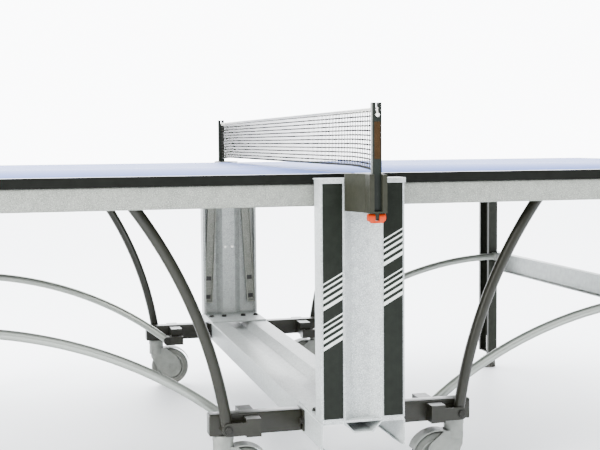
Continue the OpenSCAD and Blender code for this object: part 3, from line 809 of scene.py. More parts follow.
def polyline(name: str, points: Sequence[Vector]) -> bpy.types.Object:
    """An object of bare edges through some points, for a tree to start from."""
    mesh = bpy.data.meshes.new(name)
    edges = [(index, index + 1) for index in range(len(points) - 1)]
    mesh.from_pydata([tuple(point) for point in points], edges, [])
    return make_object(name, mesh)


def grow_tube(name: str, points: Sequence[Vector], width: float, height: float, finish: Finish,
              sides: int = 20) -> bpy.types.Object:
    """Sweeps an oval along a path.

    Args:
        name: The object's name.
        points: The path, which lies in a plane y = constant.
        width: Size of the oval across the path's plane.
        height: Size of the oval in the path's plane.
        finish: The tube's finish.
        sides: Faces round the tube.

    Returns:
        The tube as a plain mesh.
    """
    growth = Growth("oval_tube", Width=width, Height=height, Sides=sides,
                    Material=Palette.material(finish))
    path = growth.wire(growth.add("GeometryNodeMeshToCurve"), Mesh=growth.read("Geometry"))
    level = growth.wire(growth.add("GeometryNodeSetCurveNormal", mode="FREE"), Curve=path.outputs[0],
                        Normal=(0.0, 1.0, 0.0))
    ring = growth.wire(growth.add("GeometryNodeCurvePrimitiveCircle"), Resolution=growth.read("Sides"),
                       Radius=0.5)
    size = growth.wire(growth.add("ShaderNodeCombineXYZ"), X=growth.read("Width"),
                       Y=growth.read("Height"), Z=1.0)
    oval = growth.wire(growth.add("GeometryNodeTransform"), Geometry=ring.outputs[0],
                       Scale=size.outputs[0])
    tube = growth.wire(growth.add("GeometryNodeCurveToMesh"), Curve=level.outputs[0],
                       Profile_Curve=oval.outputs[0], Fill_Caps=True)
    growth.close(tube.outputs[0])
    return growth.run(polyline(name, points))


def grow_copies(name: str, stamp: bpy.types.Object, places: Sequence[tuple[Vector, Vector]],
                finish: Finish) -> bpy.types.Object:
    """Stands copies of a stamp on points.

    Args:
        name: The object's name.
        stamp: The shape to copy, standing along +Z; it is removed.
        places: Points and the direction that each copy looks along.
        finish: The copies' finish.

    Returns:
        The copies as one plain mesh.
    """
    mesh = bpy.data.meshes.new(name)
    mesh.from_pydata([tuple(point) for point, _ in places], [], [])
    looks = mesh.attributes.new("looks", "FLOAT_VECTOR", "POINT")
    for index, (_, direction) in enumerate(places):
        looks.data[index].vector = direction
    growth = Growth("copies_on_points", Stamp=stamp, Material=Palette.material(finish))
    looks_node = growth.add("GeometryNodeInputNamedAttribute", data_type="FLOAT_VECTOR")
    growth.wire(looks_node, Name="looks")
    turned = growth.add("FunctionNodeAlignEulerToVector", axis="Z")
    growth.wire(turned, Vector=looks_node.outputs[0])
    shape = growth.wire(growth.add("GeometryNodeObjectInfo"), Object=growth.read("Stamp"))
    placed = growth.wire(growth.add("GeometryNodeInstanceOnPoints"), Points=growth.read("Geometry"),
                         Instance=shape.outputs["Geometry"], Rotation=turned.outputs[0])
    growth.close(placed.outputs[0])
    piece = growth.run(make_object(name, mesh))
    bpy.data.objects.remove(stamp)
    return piece


# ---------------------------------------------------------------- shared hardware


def hex_bolt(across: float, height: float, washer: float) -> bpy.types.Object:
    """A hexagon head with a chamfered top, on a washer, standing along +Z.

    Args:
        across: Diameter over the corners.
        height: Height of the head above the washer.
        washer: Diameter of the washer.

    Returns:
        The stamp for a run of bolts.
    """
    thick = height * 0.22
    disc = lathe("washer", [(0.0, 0.0), (washer / 2, 0.0), (washer / 2, thick), (0.0, thick)],
                 Matrix.Identity(4), 24)
    head = lathe("head", [(across / 2, thick), (across / 2, height * 0.86), (across * 0.43, height),
                          (across * 0.3, height), (across * 0.26, height * 0.93)],
                 Matrix.Identity(4), 6)
    return join("bolt_stamp", [disc, head])


def domed_screw(across: float, height: float) -> bpy.types.Object:
    """A domed screw head with a round socket, standing along +Z."""
    dome = [(across / 2 * math.cos(turn), height * math.sin(turn))
            for turn in (math.radians(step) for step in range(0, 70, 10))]
    socket = [(across * 0.16, height * 0.92), (across * 0.15, height * 0.4), (0.0, height * 0.4)]
    return lathe("screw_stamp", [(across / 2, -0.0005), *dome, *socket], Matrix.Identity(4), 20)


def threaded_rod(name: str, bottom: Vector, length: float, diameter: float, pitch: float,
                 finish: Finish) -> bpy.types.Object:
    """A vertical stud with a raised thread.

    Args:
        name: The object's name.
        bottom: Middle of the lower end.
        length: Length of the stud.
        diameter: Outside diameter.
        pitch: Height of one turn of the thread.
        finish: The stud's finish.

    Returns:
        The stud.
    """
    core = lathe("core", [(diameter * 0.44, 0.0), (diameter * 0.44, length)],
                 Matrix.Translation(bottom), 24)
    dress(core, finish)
    turns = length / pitch
    growth = Growth("stud_thread", Turns=turns, Radius=diameter * 0.44, Rise=length, Ridge=pitch * 0.3,
                    Material=Palette.material(finish))
    helix = growth.wire(growth.add("GeometryNodeCurveSpiral"), Resolution=16,
                        Rotations=growth.read("Turns"), Start_Radius=growth.read("Radius"),
                        End_Radius=growth.read("Radius"), Height=growth.read("Rise"))
    ridge = growth.wire(growth.add("GeometryNodeCurvePrimitiveCircle"), Resolution=4,
                        Radius=growth.read("Ridge"))
    tube = growth.wire(growth.add("GeometryNodeCurveToMesh"), Curve=helix.outputs[0],
                       Profile_Curve=ridge.outputs[0], Fill_Caps=True)
    moved = growth.wire(growth.add("GeometryNodeTransform"), Geometry=tube.outputs[0],
                        Translation=tuple(bottom))
    growth.close(moved.outputs[0])
    thread = growth.run(polyline("thread", [bottom, bottom + Vector((0.0, 0.0, length))]))
    return join(name, [core, thread])


# ---------------------------------------------------------------- table top


@dataclass
class HalfTop:
    """Board, edge band, rails and crossmembers of one half."""

    side: Side
    band_corner: float = 0.003
    rail_corner: float = 0.004
    band: float = 0.003

    @property
    def body(self) -> str:
        """The body that this half's top moves with."""
        return f"{self.side.word}_top"

    def board(self) -> bpy.types.Object:
        """The painted board.

        Returns:
            The board, with blue paint above and a dark sealed face below.
        """
        low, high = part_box(f"{self.side.word}_board")
        piece = block(f"{self.side.word}_board_panel", low, high, 0.0006, 1)
        piece.data.materials.append(Palette.material(Palette.playing))
        piece.data.materials.append(Palette.material(Palette.edge))
        for face in piece.data.polygons:
            face.material_index = 0 if face.normal.z > 0.5 else 1
        return fit(piece, self.body, Palette.playing, f"{self.side.word}_board")

    def edge_band(self) -> bpy.types.Object:
        """The black band round the board's edge, with rounded corners."""
        low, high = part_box(f"{self.side.word}_edge_band")
        radius = [self.band_corner * 2] * 4
        corners = [(low.x, low.y), (high.x, low.y), (high.x, high.y), (low.x, high.y)]
        inset = [(low.x + self.band, low.y + self.band), (high.x - self.band, low.y + self.band),
                 (high.x - self.band, high.y - self.band), (low.x + self.band, high.y - self.band)]
        outer = rounded(corners, radius, closed=True)
        inner = rounded(inset, [self.band_corner] * 4, closed=True)
        piece = prism(f"{self.side.word}_edge_trim", outer, (low.z, high.z), Plane.ALONG_Z, [inner])
        return fit(piece, self.body, Palette.edge, f"{self.side.word}_edge_band")

    def rails(self) -> list[bpy.types.Object]:
        """Side and end rails, one rounded box tube each.

        Returns:
            The four rails.
        """
        word = self.side.word
        side_low, side_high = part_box(f"{word}_side_rails")
        end_low, end_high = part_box(f"{word}_end_rails")
        width = side_high.y - end_high.y
        made = []
        for flank in Flank:
            outer = flank.value * side_high.y
            inner = flank.value * end_high.y
            low = Vector((side_low.x, min(outer, inner), side_low.z))
            high = Vector((side_high.x, max(outer, inner), side_high.z))
            made.append(block(f"{word}_{flank.word}_rail", low, high, self.rail_corner, 3))
        for place, start in (("inner", end_low.x), ("outer", end_high.x - width)):
            low = Vector((start, end_low.y, end_low.z))
            high = Vector((start + width, end_high.y, end_high.z))
            made.append(block(f"{word}_{place}_end_rail", low, high, self.rail_corner, 3))
        nodes = [f"{word}_side_rails", f"{word}_side_rails", f"{word}_end_rails", f"{word}_end_rails"]
        for piece, node in zip(made, nodes):
            fit(piece, self.body, Palette.grey_steel, node)
        return made

    def build(self) -> None:
        """Builds and dresses the half top."""
        self.board()
        self.edge_band()
        self.rails()
        word = self.side.word
        repaint(f"{word}_crossmembers", Palette.grey_steel)
        repaint(f"{word}_hinge_brackets", Palette.dark_steel)
        repaint(f"{word}_pivot_brackets", Palette.dark_steel)
        repaint(f"{word}_rollers", Palette.roller)


# ---------------------------------------------------------------- chassis


@dataclass
class Chassis:
    """Base beam, pillars, cross bars and their trim."""

    thickness: float = 0.0025
    bend: float = 0.003
    groove_open: float = 0.084
    groove_floor: float = 0.042
    groove_depth: float = 0.022
    lip: float = 0.008
    panel_margin: float = 0.005
    panel_thickness: float = 0.0015
    bar_width: float = 0.040
    flange: float = 0.004
    rim: float = 0.010
    body: str = "chassis"

    def section(self, width: float, depth: float) -> list[Point]:
        """Outline of the grooved sheet, its face at v = 0 and its lips at v = -depth.

        Args:
            width: Width over the side walls.
            depth: Depth of the side walls.

        Returns:
            The closed outline with rounded bends.
        """
        w, a, b = width / 2, self.groove_open / 2, self.groove_floor / 2
        half = [(w - self.lip, -depth), (w, -depth), (w, 0.0), (a, 0.0), (b, -self.groove_depth)]
        mirror = [(-u, v) for u, v in reversed(half)]
        return folded_section(half + mirror, self.thickness, self.bend)

    def beam(self) -> bpy.types.Object:
        """The grooved base beam between the pillars."""
        low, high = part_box("base_beam")
        outline = [(u, v + high.z) for u, v in self.section(high.x - low.x, high.z - low.z)]
        piece = prism("base_beam_sheet", outline, (low.y, high.y), Plane.ALONG_Y)
        return fit(piece, self.body, Palette.bright_steel, "base_beam")

    def pillar(self, flank: Flank) -> bpy.types.Object:
        """One grooved pillar."""
        low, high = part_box(f"{flank.word}_pillar")
        face = max(abs(low.y), abs(high.y))
        outline = [(u, flank.value * (v + face))
                   for u, v in self.section(high.x - low.x, high.y - low.y)]
        piece = prism(f"{flank.word}_pillar_sheet", outline, (low.z, high.z), Plane.ALONG_Z)
        return fit(piece, self.body, Palette.bright_steel, f"{flank.word}_pillar")

    def bars(self) -> None:
        """The four cross bars with welded flanges."""
        low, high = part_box("cross_bars")
        _, beam_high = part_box("base_beam")
        parts = []
        for side in Side:
            for flank in Flank:
                outer = high.y - self.rim
                ys = sorted((flank.value * outer, flank.value * (outer - self.bar_width)))
                xs = sorted((side.value * (beam_high.x + self.flange), side.value * high.x))
                parts.append(block("bar", (xs[0], ys[0], low.z), (xs[1], ys[1], high.z), 0.004, 3))
                xs = sorted((side.value * beam_high.x, side.value * (beam_high.x + self.flange)))
                parts.append(block("flange", (xs[0], ys[0] - self.rim, low.z),
                                   (xs[1], ys[1] + self.rim, high.z), 0.0015))
        fit(join("cross_bar_tubes", parts), self.body, Palette.dark_steel, "cross_bars")

    def panels(self) -> None:
        """Trim panels on the pillars' shoulders, with slanting white stripes."""
        low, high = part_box("pillar_panels")
        width = high.x - self.groove_open / 2 - self.panel_margin
        for flank in Flank:
            face = flank.value * high.y
            back = flank.value * (high.y - self.panel_thickness)
            parts = []
            for side in Side:
                xs = sorted((side.value * high.x, side.value * (high.x - width)))
                ys = sorted((face, back))
                parts.append(block("panel", (xs[0], ys[0], low.z), (xs[1], ys[1], high.z), 0.0006))
            fit(join(f"{flank.word}_pillar_trim", parts), self.body, Palette.panel, "pillar_panels")
            for side in Side:
                stripes = PanelStripes(side, flank, high.x - width, high.x, abs(face))
                stripes.build()

    def fasteners(self) -> None:
        """Bolts on the foot plates, flanges and lugs, and the screws in the grooves."""
        node = frame["nodes"]["chassis_bolts"]
        stamp = hex_bolt(0.0165, 0.0065, 0.020)
        fit(grow_copies("chassis_bolt_heads", stamp, loose_parts(node), Palette.black_bolt), self.body,
            Palette.black_bolt, "chassis_bolts")
        screws = loose_parts(frame["nodes"]["pillar_screws"])
        fit(grow_copies("groove_screws", domed_screw(0.009, 0.0028), screws, Palette.zinc),
            self.body, Palette.zinc, "pillar_screws")

    def build(self) -> None:
        """Builds and dresses the chassis."""
        self.beam()
        for flank in Flank:
            self.pillar(flank)
        self.bars()
        self.panels()
        self.fasteners()
        repaint("guide_tracks", Palette.grey_steel)
        repaint("track_inserts", Palette.roller)
        repaint("foot_plates", Palette.bright_steel)
        repaint("end_brackets", Palette.dark_steel)
        repaint("pillar_caps", Palette.bright_steel)


def loose_parts(node: bpy.types.Object) -> list[tuple[Vector, Vector]]:
    """Base point and outward axis of each loose head in a node of fasteners.

    Args:
        node: A node whose solids are short heads standing off their faces.

    Returns:
        One (base, axis) pair for each head, ordered by place.
    """
    shape = bmesh.new()
    shape.from_mesh(node.data)
    bmesh.ops.remove_doubles(shape, verts=shape.verts, dist=1e-6)
    seen: set[int] = set()
    found = []
    shape.verts.ensure_lookup_table()
    for start in shape.verts:
        if start.index in seen:
            continue
        stack, island = [start], []
        seen.add(start.index)
        while stack:
            vertex = stack.pop()
            island.append(vertex.co.copy())
            for edge in vertex.link_edges:
                other = edge.other_vert(vertex)
                if other.index not in seen:
                    seen.add(other.index)
                    stack.append(other)
        low = Vector(min(point[i] for point in island) for i in range(3))
        high = Vector(max(point[i] for point in island) for i in range(3))
        found.append((low, high))
    shape.free()
    result = []
    for low, high in sorted(found, key=lambda pair: tuple(round(c, 4) for c in pair[0])):
        size, centre = high - low, (low + high) / 2
        shortest = min(range(3), key=lambda i: size[i])
        axis = Vector((0.0, 0.0, 0.0))
        if shortest == 2:
            axis.z = 1.0
        elif shortest == 0:
            axis.x = math.copysign(1.0, centre.x)
        else:
            axis.y = math.copysign(1.0, centre.y)
        result.append((centre - axis * size[shortest] / 2, axis))
    return result


@dataclass
class PanelStripes:
    """Two groups of slanting white stripes on one trim panel."""

    side: Side
    flank: Flank
    inner_x: float
    outer_x: float
    face_y: float
    slant: float = math.radians(29.0)
    count: int = 5
    thinnest: float = 0.0030
    growth_step: float = 0.00125
    pitch: float = 0.011
    raised: float = 0.0003
    spacing: float = 0.089
    top_level: float = 0.626
    stagger: float = 0.094

    def group(self, top: float) -> bpy.types.Object:
        """One group of stripes that thicken downwards.

        Args:
            top: Height of the first stripe at the panel's inner edge.

        Returns:
            The stripes as one plain mesh.
        """
        name = f"{self.flank.word}_{self.side.word}_stripes_{round(top * 1000)}"
        growth = Growth("slanting_stripes", Count=self.count, Pitch=self.pitch, Thin=self.thinnest,
                        Step=self.growth_step, Slant=math.tan(self.slant),
                        Material=Palette.material(Palette.stripe))
        row = growth.wire(growth.add("GeometryNodeMeshLine"), Count=growth.read("Count"),
                          Offset=(0.0, 0.0, 0.0))
        place = growth.add("GeometryNodeInputIndex").outputs[0]
        drop = growth.sums("MULTIPLY", place, growth.read("Pitch"))
        spread = growth.sums("MULTIPLY", growth.sums("MULTIPLY", place, place), self.growth_step / 2)
        level = growth.sums("MULTIPLY", growth.sums("ADD", drop, spread), -1.0)
        offset = growth.wire(growth.add("ShaderNodeCombineXYZ"), Z=level)
        spaced = growth.wire(growth.add("GeometryNodeSetPosition"), Geometry=row.outputs[0],
                             Offset=offset.outputs[0])
        bar = growth.wire(growth.add("GeometryNodeMeshCube"),
                          Size=(self.outer_x - self.inner_x, self.raised * 2, 1.0))
        tall = growth.sums("ADD", growth.sums("MULTIPLY", place, growth.read("Step")),
                           growth.read("Thin"))
        size = growth.wire(growth.add("ShaderNodeCombineXYZ"), X=1.0, Y=1.0, Z=tall)
        bars = growth.wire(growth.add("GeometryNodeInstanceOnPoints"), Points=spaced.outputs[0],
                           Instance=bar.outputs[0], Scale=size.outputs[0])
        real = growth.wire(growth.add("GeometryNodeRealizeInstances"), Geometry=bars.outputs[0])
        where = growth.add("GeometryNodeInputPosition")
        split = growth.wire(growth.add("ShaderNodeSeparateXYZ"), Vector=where.outputs[0])
        rise = growth.sums("MULTIPLY", split.outputs[0], growth.read("Slant"))
        lift = growth.wire(growth.add("ShaderNodeCombineXYZ"), Z=rise)
        sheared = growth.wire(growth.add("GeometryNodeSetPosition"), Geometry=real.outputs[0],
                              Offset=lift.outputs[0])
        middle = (self.side.value * (self.outer_x + self.inner_x) / 2,
                  self.flank.value * self.face_y, top)
        moved = growth.wire(growth.add("GeometryNodeTransform"), Geometry=sheared.outputs[0],
                            Translation=middle)
        growth.close(moved.outputs[0])
        return growth.run(polyline(name, [Vector(middle), Vector(middle) + Vector((0.0, 0.0, 0.01))]))

    def build(self) -> None:
        """Builds both groups of stripes."""
        shift = 0.0 if self.side.value == -self.flank.value else self.stagger
        for number in range(2):
            fit(self.group(self.top_level - shift - number * self.spacing), "chassis", Palette.stripe)


# ---------------------------------------------------------------- arms, links and legs


@dataclass
class Linkage:
    """Bowed arms, links and the leg frame of one half."""

    side: Side
    arm_width: float = 0.0265
    arm_height: float = 0.0268
    arm_bow: float = 0.036
    arm_eye: float = 0.030
    link_width: float = 0.0235
    link_height: float = 0.0238
    link_bow: float = 0.062
    link_eye: float = 0.028
    eye_margin: float = 0.0005
    leg_sheet: float = 0.0025
    leg_bend: float = 0.002
    leg_lip: float = 0.014
    leg_depth: float = 0.090
    steps: int = 40

    def arc(self, start: Point, stop: Point, bow: float, y: float) -> list[Vector]:
        """Points along one arc.

        Args:
            start: Lower end, as (distance from the net line, height).
            stop: Upper end.
            bow: Height of the arc over its chord.
            y: Plane that the arc lies in.

        Returns:
            The points in the row frame.
        """
        first, last = Vector(start), Vector(stop)
        chord = last - first
        radius = (chord.length ** 2 / 4 + bow ** 2) / (2 * bow)
        normal = Vector((-chord.y, chord.x)).normalized()
        centre = (first + last) / 2 - normal * (radius - bow)
        begin = math.atan2(first.y - centre.y, first.x - centre.x)
        end = math.atan2(last.y - centre.y, last.x - centre.x)
        points = []
        for step in range(self.steps + 1):
            turn = begin + (end - begin) * step / self.steps
            distance = centre.x + radius * math.cos(turn)
            points.append(Vector((self.side.value * distance, y, centre.y + radius * math.sin(turn))))
        return points

    def pins(self, node: str, joint: str, eye: float) -> tuple[Point, Point]:
        """Lower and upper pin of the arms or links, as (distance, height).

        Args:
            node: The frame's node of the arms or links.
            joint: The joint at the upper pin.
            eye: Diameter of the eyes.

        Returns:
            The two pins.
        """
        low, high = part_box(node)
        nearest = min(abs(low.x), abs(high.x))
        upper = next(j for j in frame["joints"] if j["name"] == joint)["pos_m"]
        return (nearest + eye / 2, low.z + eye / 2), (abs(upper[0]), upper[2])

    def eye(self, pin: Point, y: float, diameter: float, width: float, bolt: float,
            finish: Finish) -> list[bpy.types.Object]:
        """A pressed eye, bored out to the bolt head's diameter.

        Args:
            pin: The eye's middle, as (distance, height).
            y: Plane of the tube.
            diameter: Diameter of the eye.
            width: Width across the table.
            bolt: Diameter of the bolt head.
            finish: Finish of the eye.

        Returns:
            The eye's parts.
        """
        half, edge = width / 2, 0.0015
        place = axis_frame((self.side.value * pin[0], y, pin[1]), (0.0, 1.0, 0.0))
        barrel = lathe("eye", [(bolt / 2, -half), (diameter / 2 - edge, -half), (diameter / 2, edge - half),
                               (diameter / 2, half - edge), (diameter / 2 - edge, half),
                               (bolt / 2, half), (bolt / 2, -half)], place, 32)
        return [dress(barrel, finish)]

    def tubes(self, word: str, finish: Finish, pins: tuple[Point, Point], bow: float,
              size: Point, eye: float, body: str) -> None:
        """The near and far arm or link of this half.

        Args:
            word: "arm" or "link".
            finish: Finish of the tubes.
            pins: Lower and upper pin.
            bow: Bow of the arc.
            size: Width and height of the oval.
            eye: Diameter of the eyes.
            body: The body that they move with.
        """
        node = f"{self.side.word}_{word}s"
        _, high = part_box(node)
        width = size[0] + self.eye_margin
        for flank in Flank:
            y = flank.value * (high.y - width / 2)
            points = self.arc(*pins, bow, y)
            parts = [grow_tube("tube", points, size[0], size[1], finish)]
            for pin in pins:
                parts += self.eye(pin, y, eye, width, 0.012, finish)
            fit(join(f"{self.side.word}_{flank.word}_{word}", parts), body, finish, node)

    def leg(self, flank: Flank) -> bpy.types.Object:
        """One folded leg, open towards the middle, with its end plate and the stub and bolt head of its
        pivot.
        """
        low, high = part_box(f"{self.side.word}_legs")
        depth = self.leg_depth
        near_y, far_y = high.y - depth, high.y
        x_mid = (low.x + high.x) / 2
        half = (high.x - low.x) / 2
        path = [(-half, depth / 2 - self.leg_lip), (-half, depth / 2), (half, depth / 2),
                (half, -depth / 2), (-half, -depth / 2), (-half, self.leg_lip - depth / 2)]
        outline = folded_section(path[::-1], self.leg_sheet, self.leg_bend)
        y_mid = flank.value * (near_y + far_y) / 2
        placed = [(x_mid + self.side.value * u, y_mid + v) for u, v in outline]
        leg = prism("leg", placed, (low.z, high.z), Plane.ALONG_Z)
        inset = 0.0028
        plate = block("plate", (x_mid - half + inset, y_mid - depth / 2 + inset, low.z),
                      (x_mid + half - inset, y_mid + depth / 2 - inset, low.z + 0.005), 0.0008)
        dress(leg, Palette.black_steel)
        dress(plate, Palette.black_steel)
        parts = [leg, plate]
        joint = next(j for j in frame["joints"] if j["name"] == f"{self.side.word}_link_hinge")
        pin_x, _, pin_z = joint["pos_m"]
        face = flank.value * near_y
        tip = flank.value * (near_y - 0.0305)
        stub = lathe("stub", [(0.0, 0.0), (0.0055, 0.0), (0.0055, abs(tip - face)), (0.0, abs(tip - face))],
                     axis_frame((pin_x, face, pin_z), (0.0, -flank.value, 0.0)), 24)
        parts.append(dress(stub, Palette.zinc))
        head = hex_bolt(0.018, 0.006, 0.021)
        head.data.transform(axis_frame((pin_x, flank.value * (near_y - 0.0275), pin_z),
                                       (0.0, -flank.value, 0.0)))
        parts.append(dress(head, Palette.zinc))
        piece = join(f"{self.side.word}_{flank.word}_leg", parts)
        return fit(piece, f"{self.side.word}_leg_frame", Palette.black_steel, f"{self.side.word}_legs")

    def beam(self) -> bpy.types.Object:
        """The folded beam between the two legs, open towards the middle."""
        low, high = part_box(f"{self.side.word}_leg_beam")
        near, far = (low.x, high.x) if self.side is Side.RIGHT else (high.x, low.x)
        path = [(near, high.z), (far, high.z), (far, low.z), (near, low.z)]
        if self.side is Side.RIGHT:
            path.reverse()
        outline = folded_section(path, self.leg_sheet, self.leg_bend)
        piece = prism(f"{self.side.word}_leg_crossbeam", outline, (low.y, high.y), Plane.ALONG_Y)
        return fit(piece, f"{self.side.word}_leg_frame", Palette.beam_silver,
                   f"{self.side.word}_leg_beam")

    def foot(self, flank: Flank) -> bpy.types.Object:
        """One levelling foot: faceted pad, lock nut and threaded stud."""
        node = f"{self.side.word}_{flank.word}_foot"
        low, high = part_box(node)
        centre = (low + high) / 2
        floor = Vector((centre.x, centre.y, low.z))
        pad = lathe("pad", [(0.0, 0.0), (0.0285, 0.0), (0.030, 0.002), (0.030, 0.014), (0.0275, 0.029),
                            (0.019, 0.032), (0.0175, 0.037), (0.0, 0.037)], Matrix.Translation(floor), 8)
        dress(pad, Palette.rubber)
        nut = lathe("nut", [(0.0, 0.037), (0.0115, 0.037), (0.012, 0.0385), (0.012, 0.0405),
                            (0.010, 0.0418), (0.0, 0.0418)], Matrix.Translation(floor), 6)
        dress(nut, Palette.zinc)
        stud = threaded_rod("stud", floor + Vector((0.0, 0.0, 0.030)), high.z - low.z - 0.031,
                            0.0118, 0.00175, Palette.zinc)
        piece = join(f"{node}_levelling", [pad, nut, stud])
        return fit(piece, f"{node}_body", Palette.rubber, node)

    def build(self) -> None:
        """Builds and dresses the half's linkage."""
        word = self.side.word
        arms = self.pins(f"{word}_arms", f"{word}_arm_hinge", self.arm_eye)
        links = self.pins(f"{word}_links", f"{word}_link_hinge", self.link_eye)
        self.tubes("arm", Palette.dark_steel, arms, self.arm_bow, (self.arm_width, self.arm_height),
                   self.arm_eye, f"{word}_arm_pair")
        self.tubes("link", Palette.silver, links, self.link_bow, (self.link_width, self.link_height),
                   self.link_eye, f"{word}_link_pair")
        for flank in Flank:
            self.leg(flank)
            self.foot(flank)
        self.beam()


# ---------------------------------------------------------------- casters


@dataclass
class Caster:
    """One swivel caster with a hooded housing and a ribbed wheel."""

    side: Side
    flank: Flank
    ribs: int = 9
    tyre_depth: float = 0.016
    collar_radius: float = 0.0248

    @property
    def word(self) -> str:
        """The corner's name as the frame spells it."""
        return f"{self.flank.word}_{self.side.word}"

    def wheel(self) -> bpy.types.Object:
        """Grey tyre on a ribbed hub."""
        node = f"{self.word}_caster_wheel"
        low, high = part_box(node)
        centre = (low + high) / 2
        radius, half = (high.z - low.z) / 2, (high.y - low.y) / 2
        place = axis_frame(centre, (0.0, 1.0, 0.0))
        seat = radius - self.tyre_depth
        crown = rounded([(seat, -half), (radius, -half), (radius, half), (seat, half)],
                        [0.0, 0.008, 0.008, 0.0], closed=False, steps=6)
        tyre = dress(lathe("tyre", [*crown, (seat, -half)], place, 72), Palette.tyre)
        rim = seat - 0.0002
        web = 0.004
        hub = [(rim, 0.001 - half), (rim, half - 0.001), (rim - 0.004, half - 0.001), (rim - 0.006, web),
               (0.014, web), (0.012, half - 0.0005), (0.0045, half - 0.0005), (0.0045, 0.0005 - half),
               (0.012, 0.0005 - half), (0.014, -web), (rim - 0.006, -web), (rim - 0.004, 0.001 - half),
               (rim, 0.001 - half)]
        disc = dress(lathe("hub", hub, place, 72), Palette.hub)
        rib = block("rib", (0.013, -0.0013, 0.0035 - half), (rim - 0.0045, 0.0013, half - 0.0035), 0.0005, 1)
        growth = Growth("wheel_ribs", Count=self.ribs, Rib=rib, Material=Palette.material(Palette.hub))
        points = growth.wire(growth.add("GeometryNodeMeshLine"), Count=growth.read("Count"),
                             Offset=(0.0, 0.0, 0.0))
        index = growth.add("GeometryNodeInputIndex").outputs[0]
        turn = growth.sums("DIVIDE", growth.sums("MULTIPLY", index, 2 * math.pi), growth.read("Count"))
        angles = growth.wire(growth.add("ShaderNodeCombineXYZ"), Z=turn)
        shape = growth.wire(growth.add("GeometryNodeObjectInfo"), Object=growth.read("Rib"))
        copies = growth.wire(growth.add("GeometryNodeInstanceOnPoints"), Points=points.outputs[0],
                             Instance=shape.outputs["Geometry"], Rotation=angles.outputs[0])
        growth.close(copies.outputs[0])
        ribs = growth.run(polyline("ribs", [Vector(), Vector((0.0, 0.0, 0.01))]))
        ribs.data.transform(place)
        bpy.data.objects.remove(rib)
        return fit(join(f"{self.word}_wheel_assembly", [tyre, disc, ribs]), f"{self.word}_wheel",
                   Palette.tyre, node)

    def housing(self) -> bpy.types.Object:
        """Collar, cheeks, hood and axle caps of the swivelling housing."""
        node = f"{self.word}_caster_fork"
        _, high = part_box(node)
        wheel_low, wheel_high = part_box(f"{self.word}_caster_wheel")
        axle = (wheel_low + wheel_high) / 2
        radius = (wheel_high.z - wheel_low.z) / 2
        joint = next(j for j in frame["joints"] if j["name"] == f"{self.word}_swivel")["pos_m"]
        stem = Vector((joint[0], joint[1], 0.0))
        away = math.copysign(1.0, stem.x - axle.x)
        inner = (wheel_high.y - wheel_low.y) / 2 + 0.0015
        cheek = 0.005
        outline = self.cheek_outline(abs(stem.x - axle.x), radius)
        parts = []
        for sign in (-1.0, 1.0):
            run = sorted((axle.y + sign * inner, axle.y + sign * (inner + cheek)))
            placed = [(axle.x + away * u, axle.z + v) for u, v in outline]
            parts.append(prism("cheek", placed, tuple(run), Plane.ALONG_Y))
        hood = self.hood(radius)
        placed = [(axle.x + away * u, axle.z + v) for u, v in hood]
        parts.append(prism("hood", placed, (axle.y - inner - cheek + 0.0004, axle.y + inner + cheek - 0.0004),
                           Plane.ALONG_Y))
        top = joint[2] - 0.0004
        girth = self.collar_radius
        collar = [(0.0, top - 0.050), (girth - 0.001, top - 0.047), (girth - 0.001, top - 0.014),
                  (girth, top - 0.012), (girth, top - 0.002), (girth - 0.001, top), (0.0, top)]
        parts.append(lathe("collar", collar, Matrix.Translation(stem), 40))
        parts.append(lathe("stem", [(0.0, top - 0.01), (0.0055, top - 0.01), (0.0055, high.z), (0.0, high.z)],
                           Matrix.Translation(stem), 24))
        for sign in (-1.0, 1.0):
            cap = [(0.0, 0.0), (0.0082, 0.0), (0.0078, 0.0016), (0.0055, 0.0022), (0.005, 0.0016),
                   (0.0, 0.0016)]
            spot = (axle.x, axle.y + sign * (inner + cheek - 0.0002), axle.z)
            parts.append(lathe("axle_cap", cap, axis_frame(spot, (0.0, sign, 0.0)), 28))
        parts.append(lathe("axle", [(0.0, -inner), (0.004, -inner), (0.004, inner), (0.0, inner)],
                           axis_frame(axle, (0.0, 1.0, 0.0)), 24))
        for part in parts:
            dress(part, Palette.caster)
        return fit(join(f"{self.word}_caster_housing", parts), f"{self.word}_caster", Palette.caster, node)

    def cheek_outline(self, trail: float, radius: float) -> list[Point]:
        """Outline of one cheek, from the axle boss up to the stem's hood.

        Args:
            trail: Distance from the axle to the stem.
            radius: Radius of the wheel.

        Returns:
            Closed outline, relative to the axle, with u towards the stem.
        """
        gap = 0.004
        corners = [(-0.036, 0.0), (-0.028, -0.030), (0.010, -0.036), (0.042, -0.006),
                   (trail + 0.016, radius * 0.50), (trail + 0.018, radius + gap - 0.002),
                   (trail - 0.010, radius + gap + 0.002), (trail * 0.3, radius + gap * 0.5),
                   (-0.022, 0.036)]
        radii = [0.03, 0.03, 0.03, 0.03, 0.014, 0.006, 0.006, 0.01, 0.03]
        return rounded(corners, radii, closed=True, steps=5)

    def hood(self, radius: float) -> list[Point]:
        """Outline of the fender over the wheel, pointed at its free end."""
        gap, thick, steps = 0.0045, 0.003, 22
        start, stop = math.radians(30.0), math.radians(158.0)
        inner = radius + gap
        rim, back = [], []
        for step in range(steps + 1):
            turn = start + (stop - start) * step / steps
            outer = inner + thick * min(1.0, (steps - step) / 3 + 0.2)
            rim.append((inner * math.cos(turn), inner * math.sin(turn)))
            back.append((outer * math.cos(turn), outer * math.sin(turn)))
        return rim + back[::-1]

    def build(self) -> None:
        """Builds the caster."""
        self.wheel()
        self.housing()


# ---------------------------------------------------------------- net


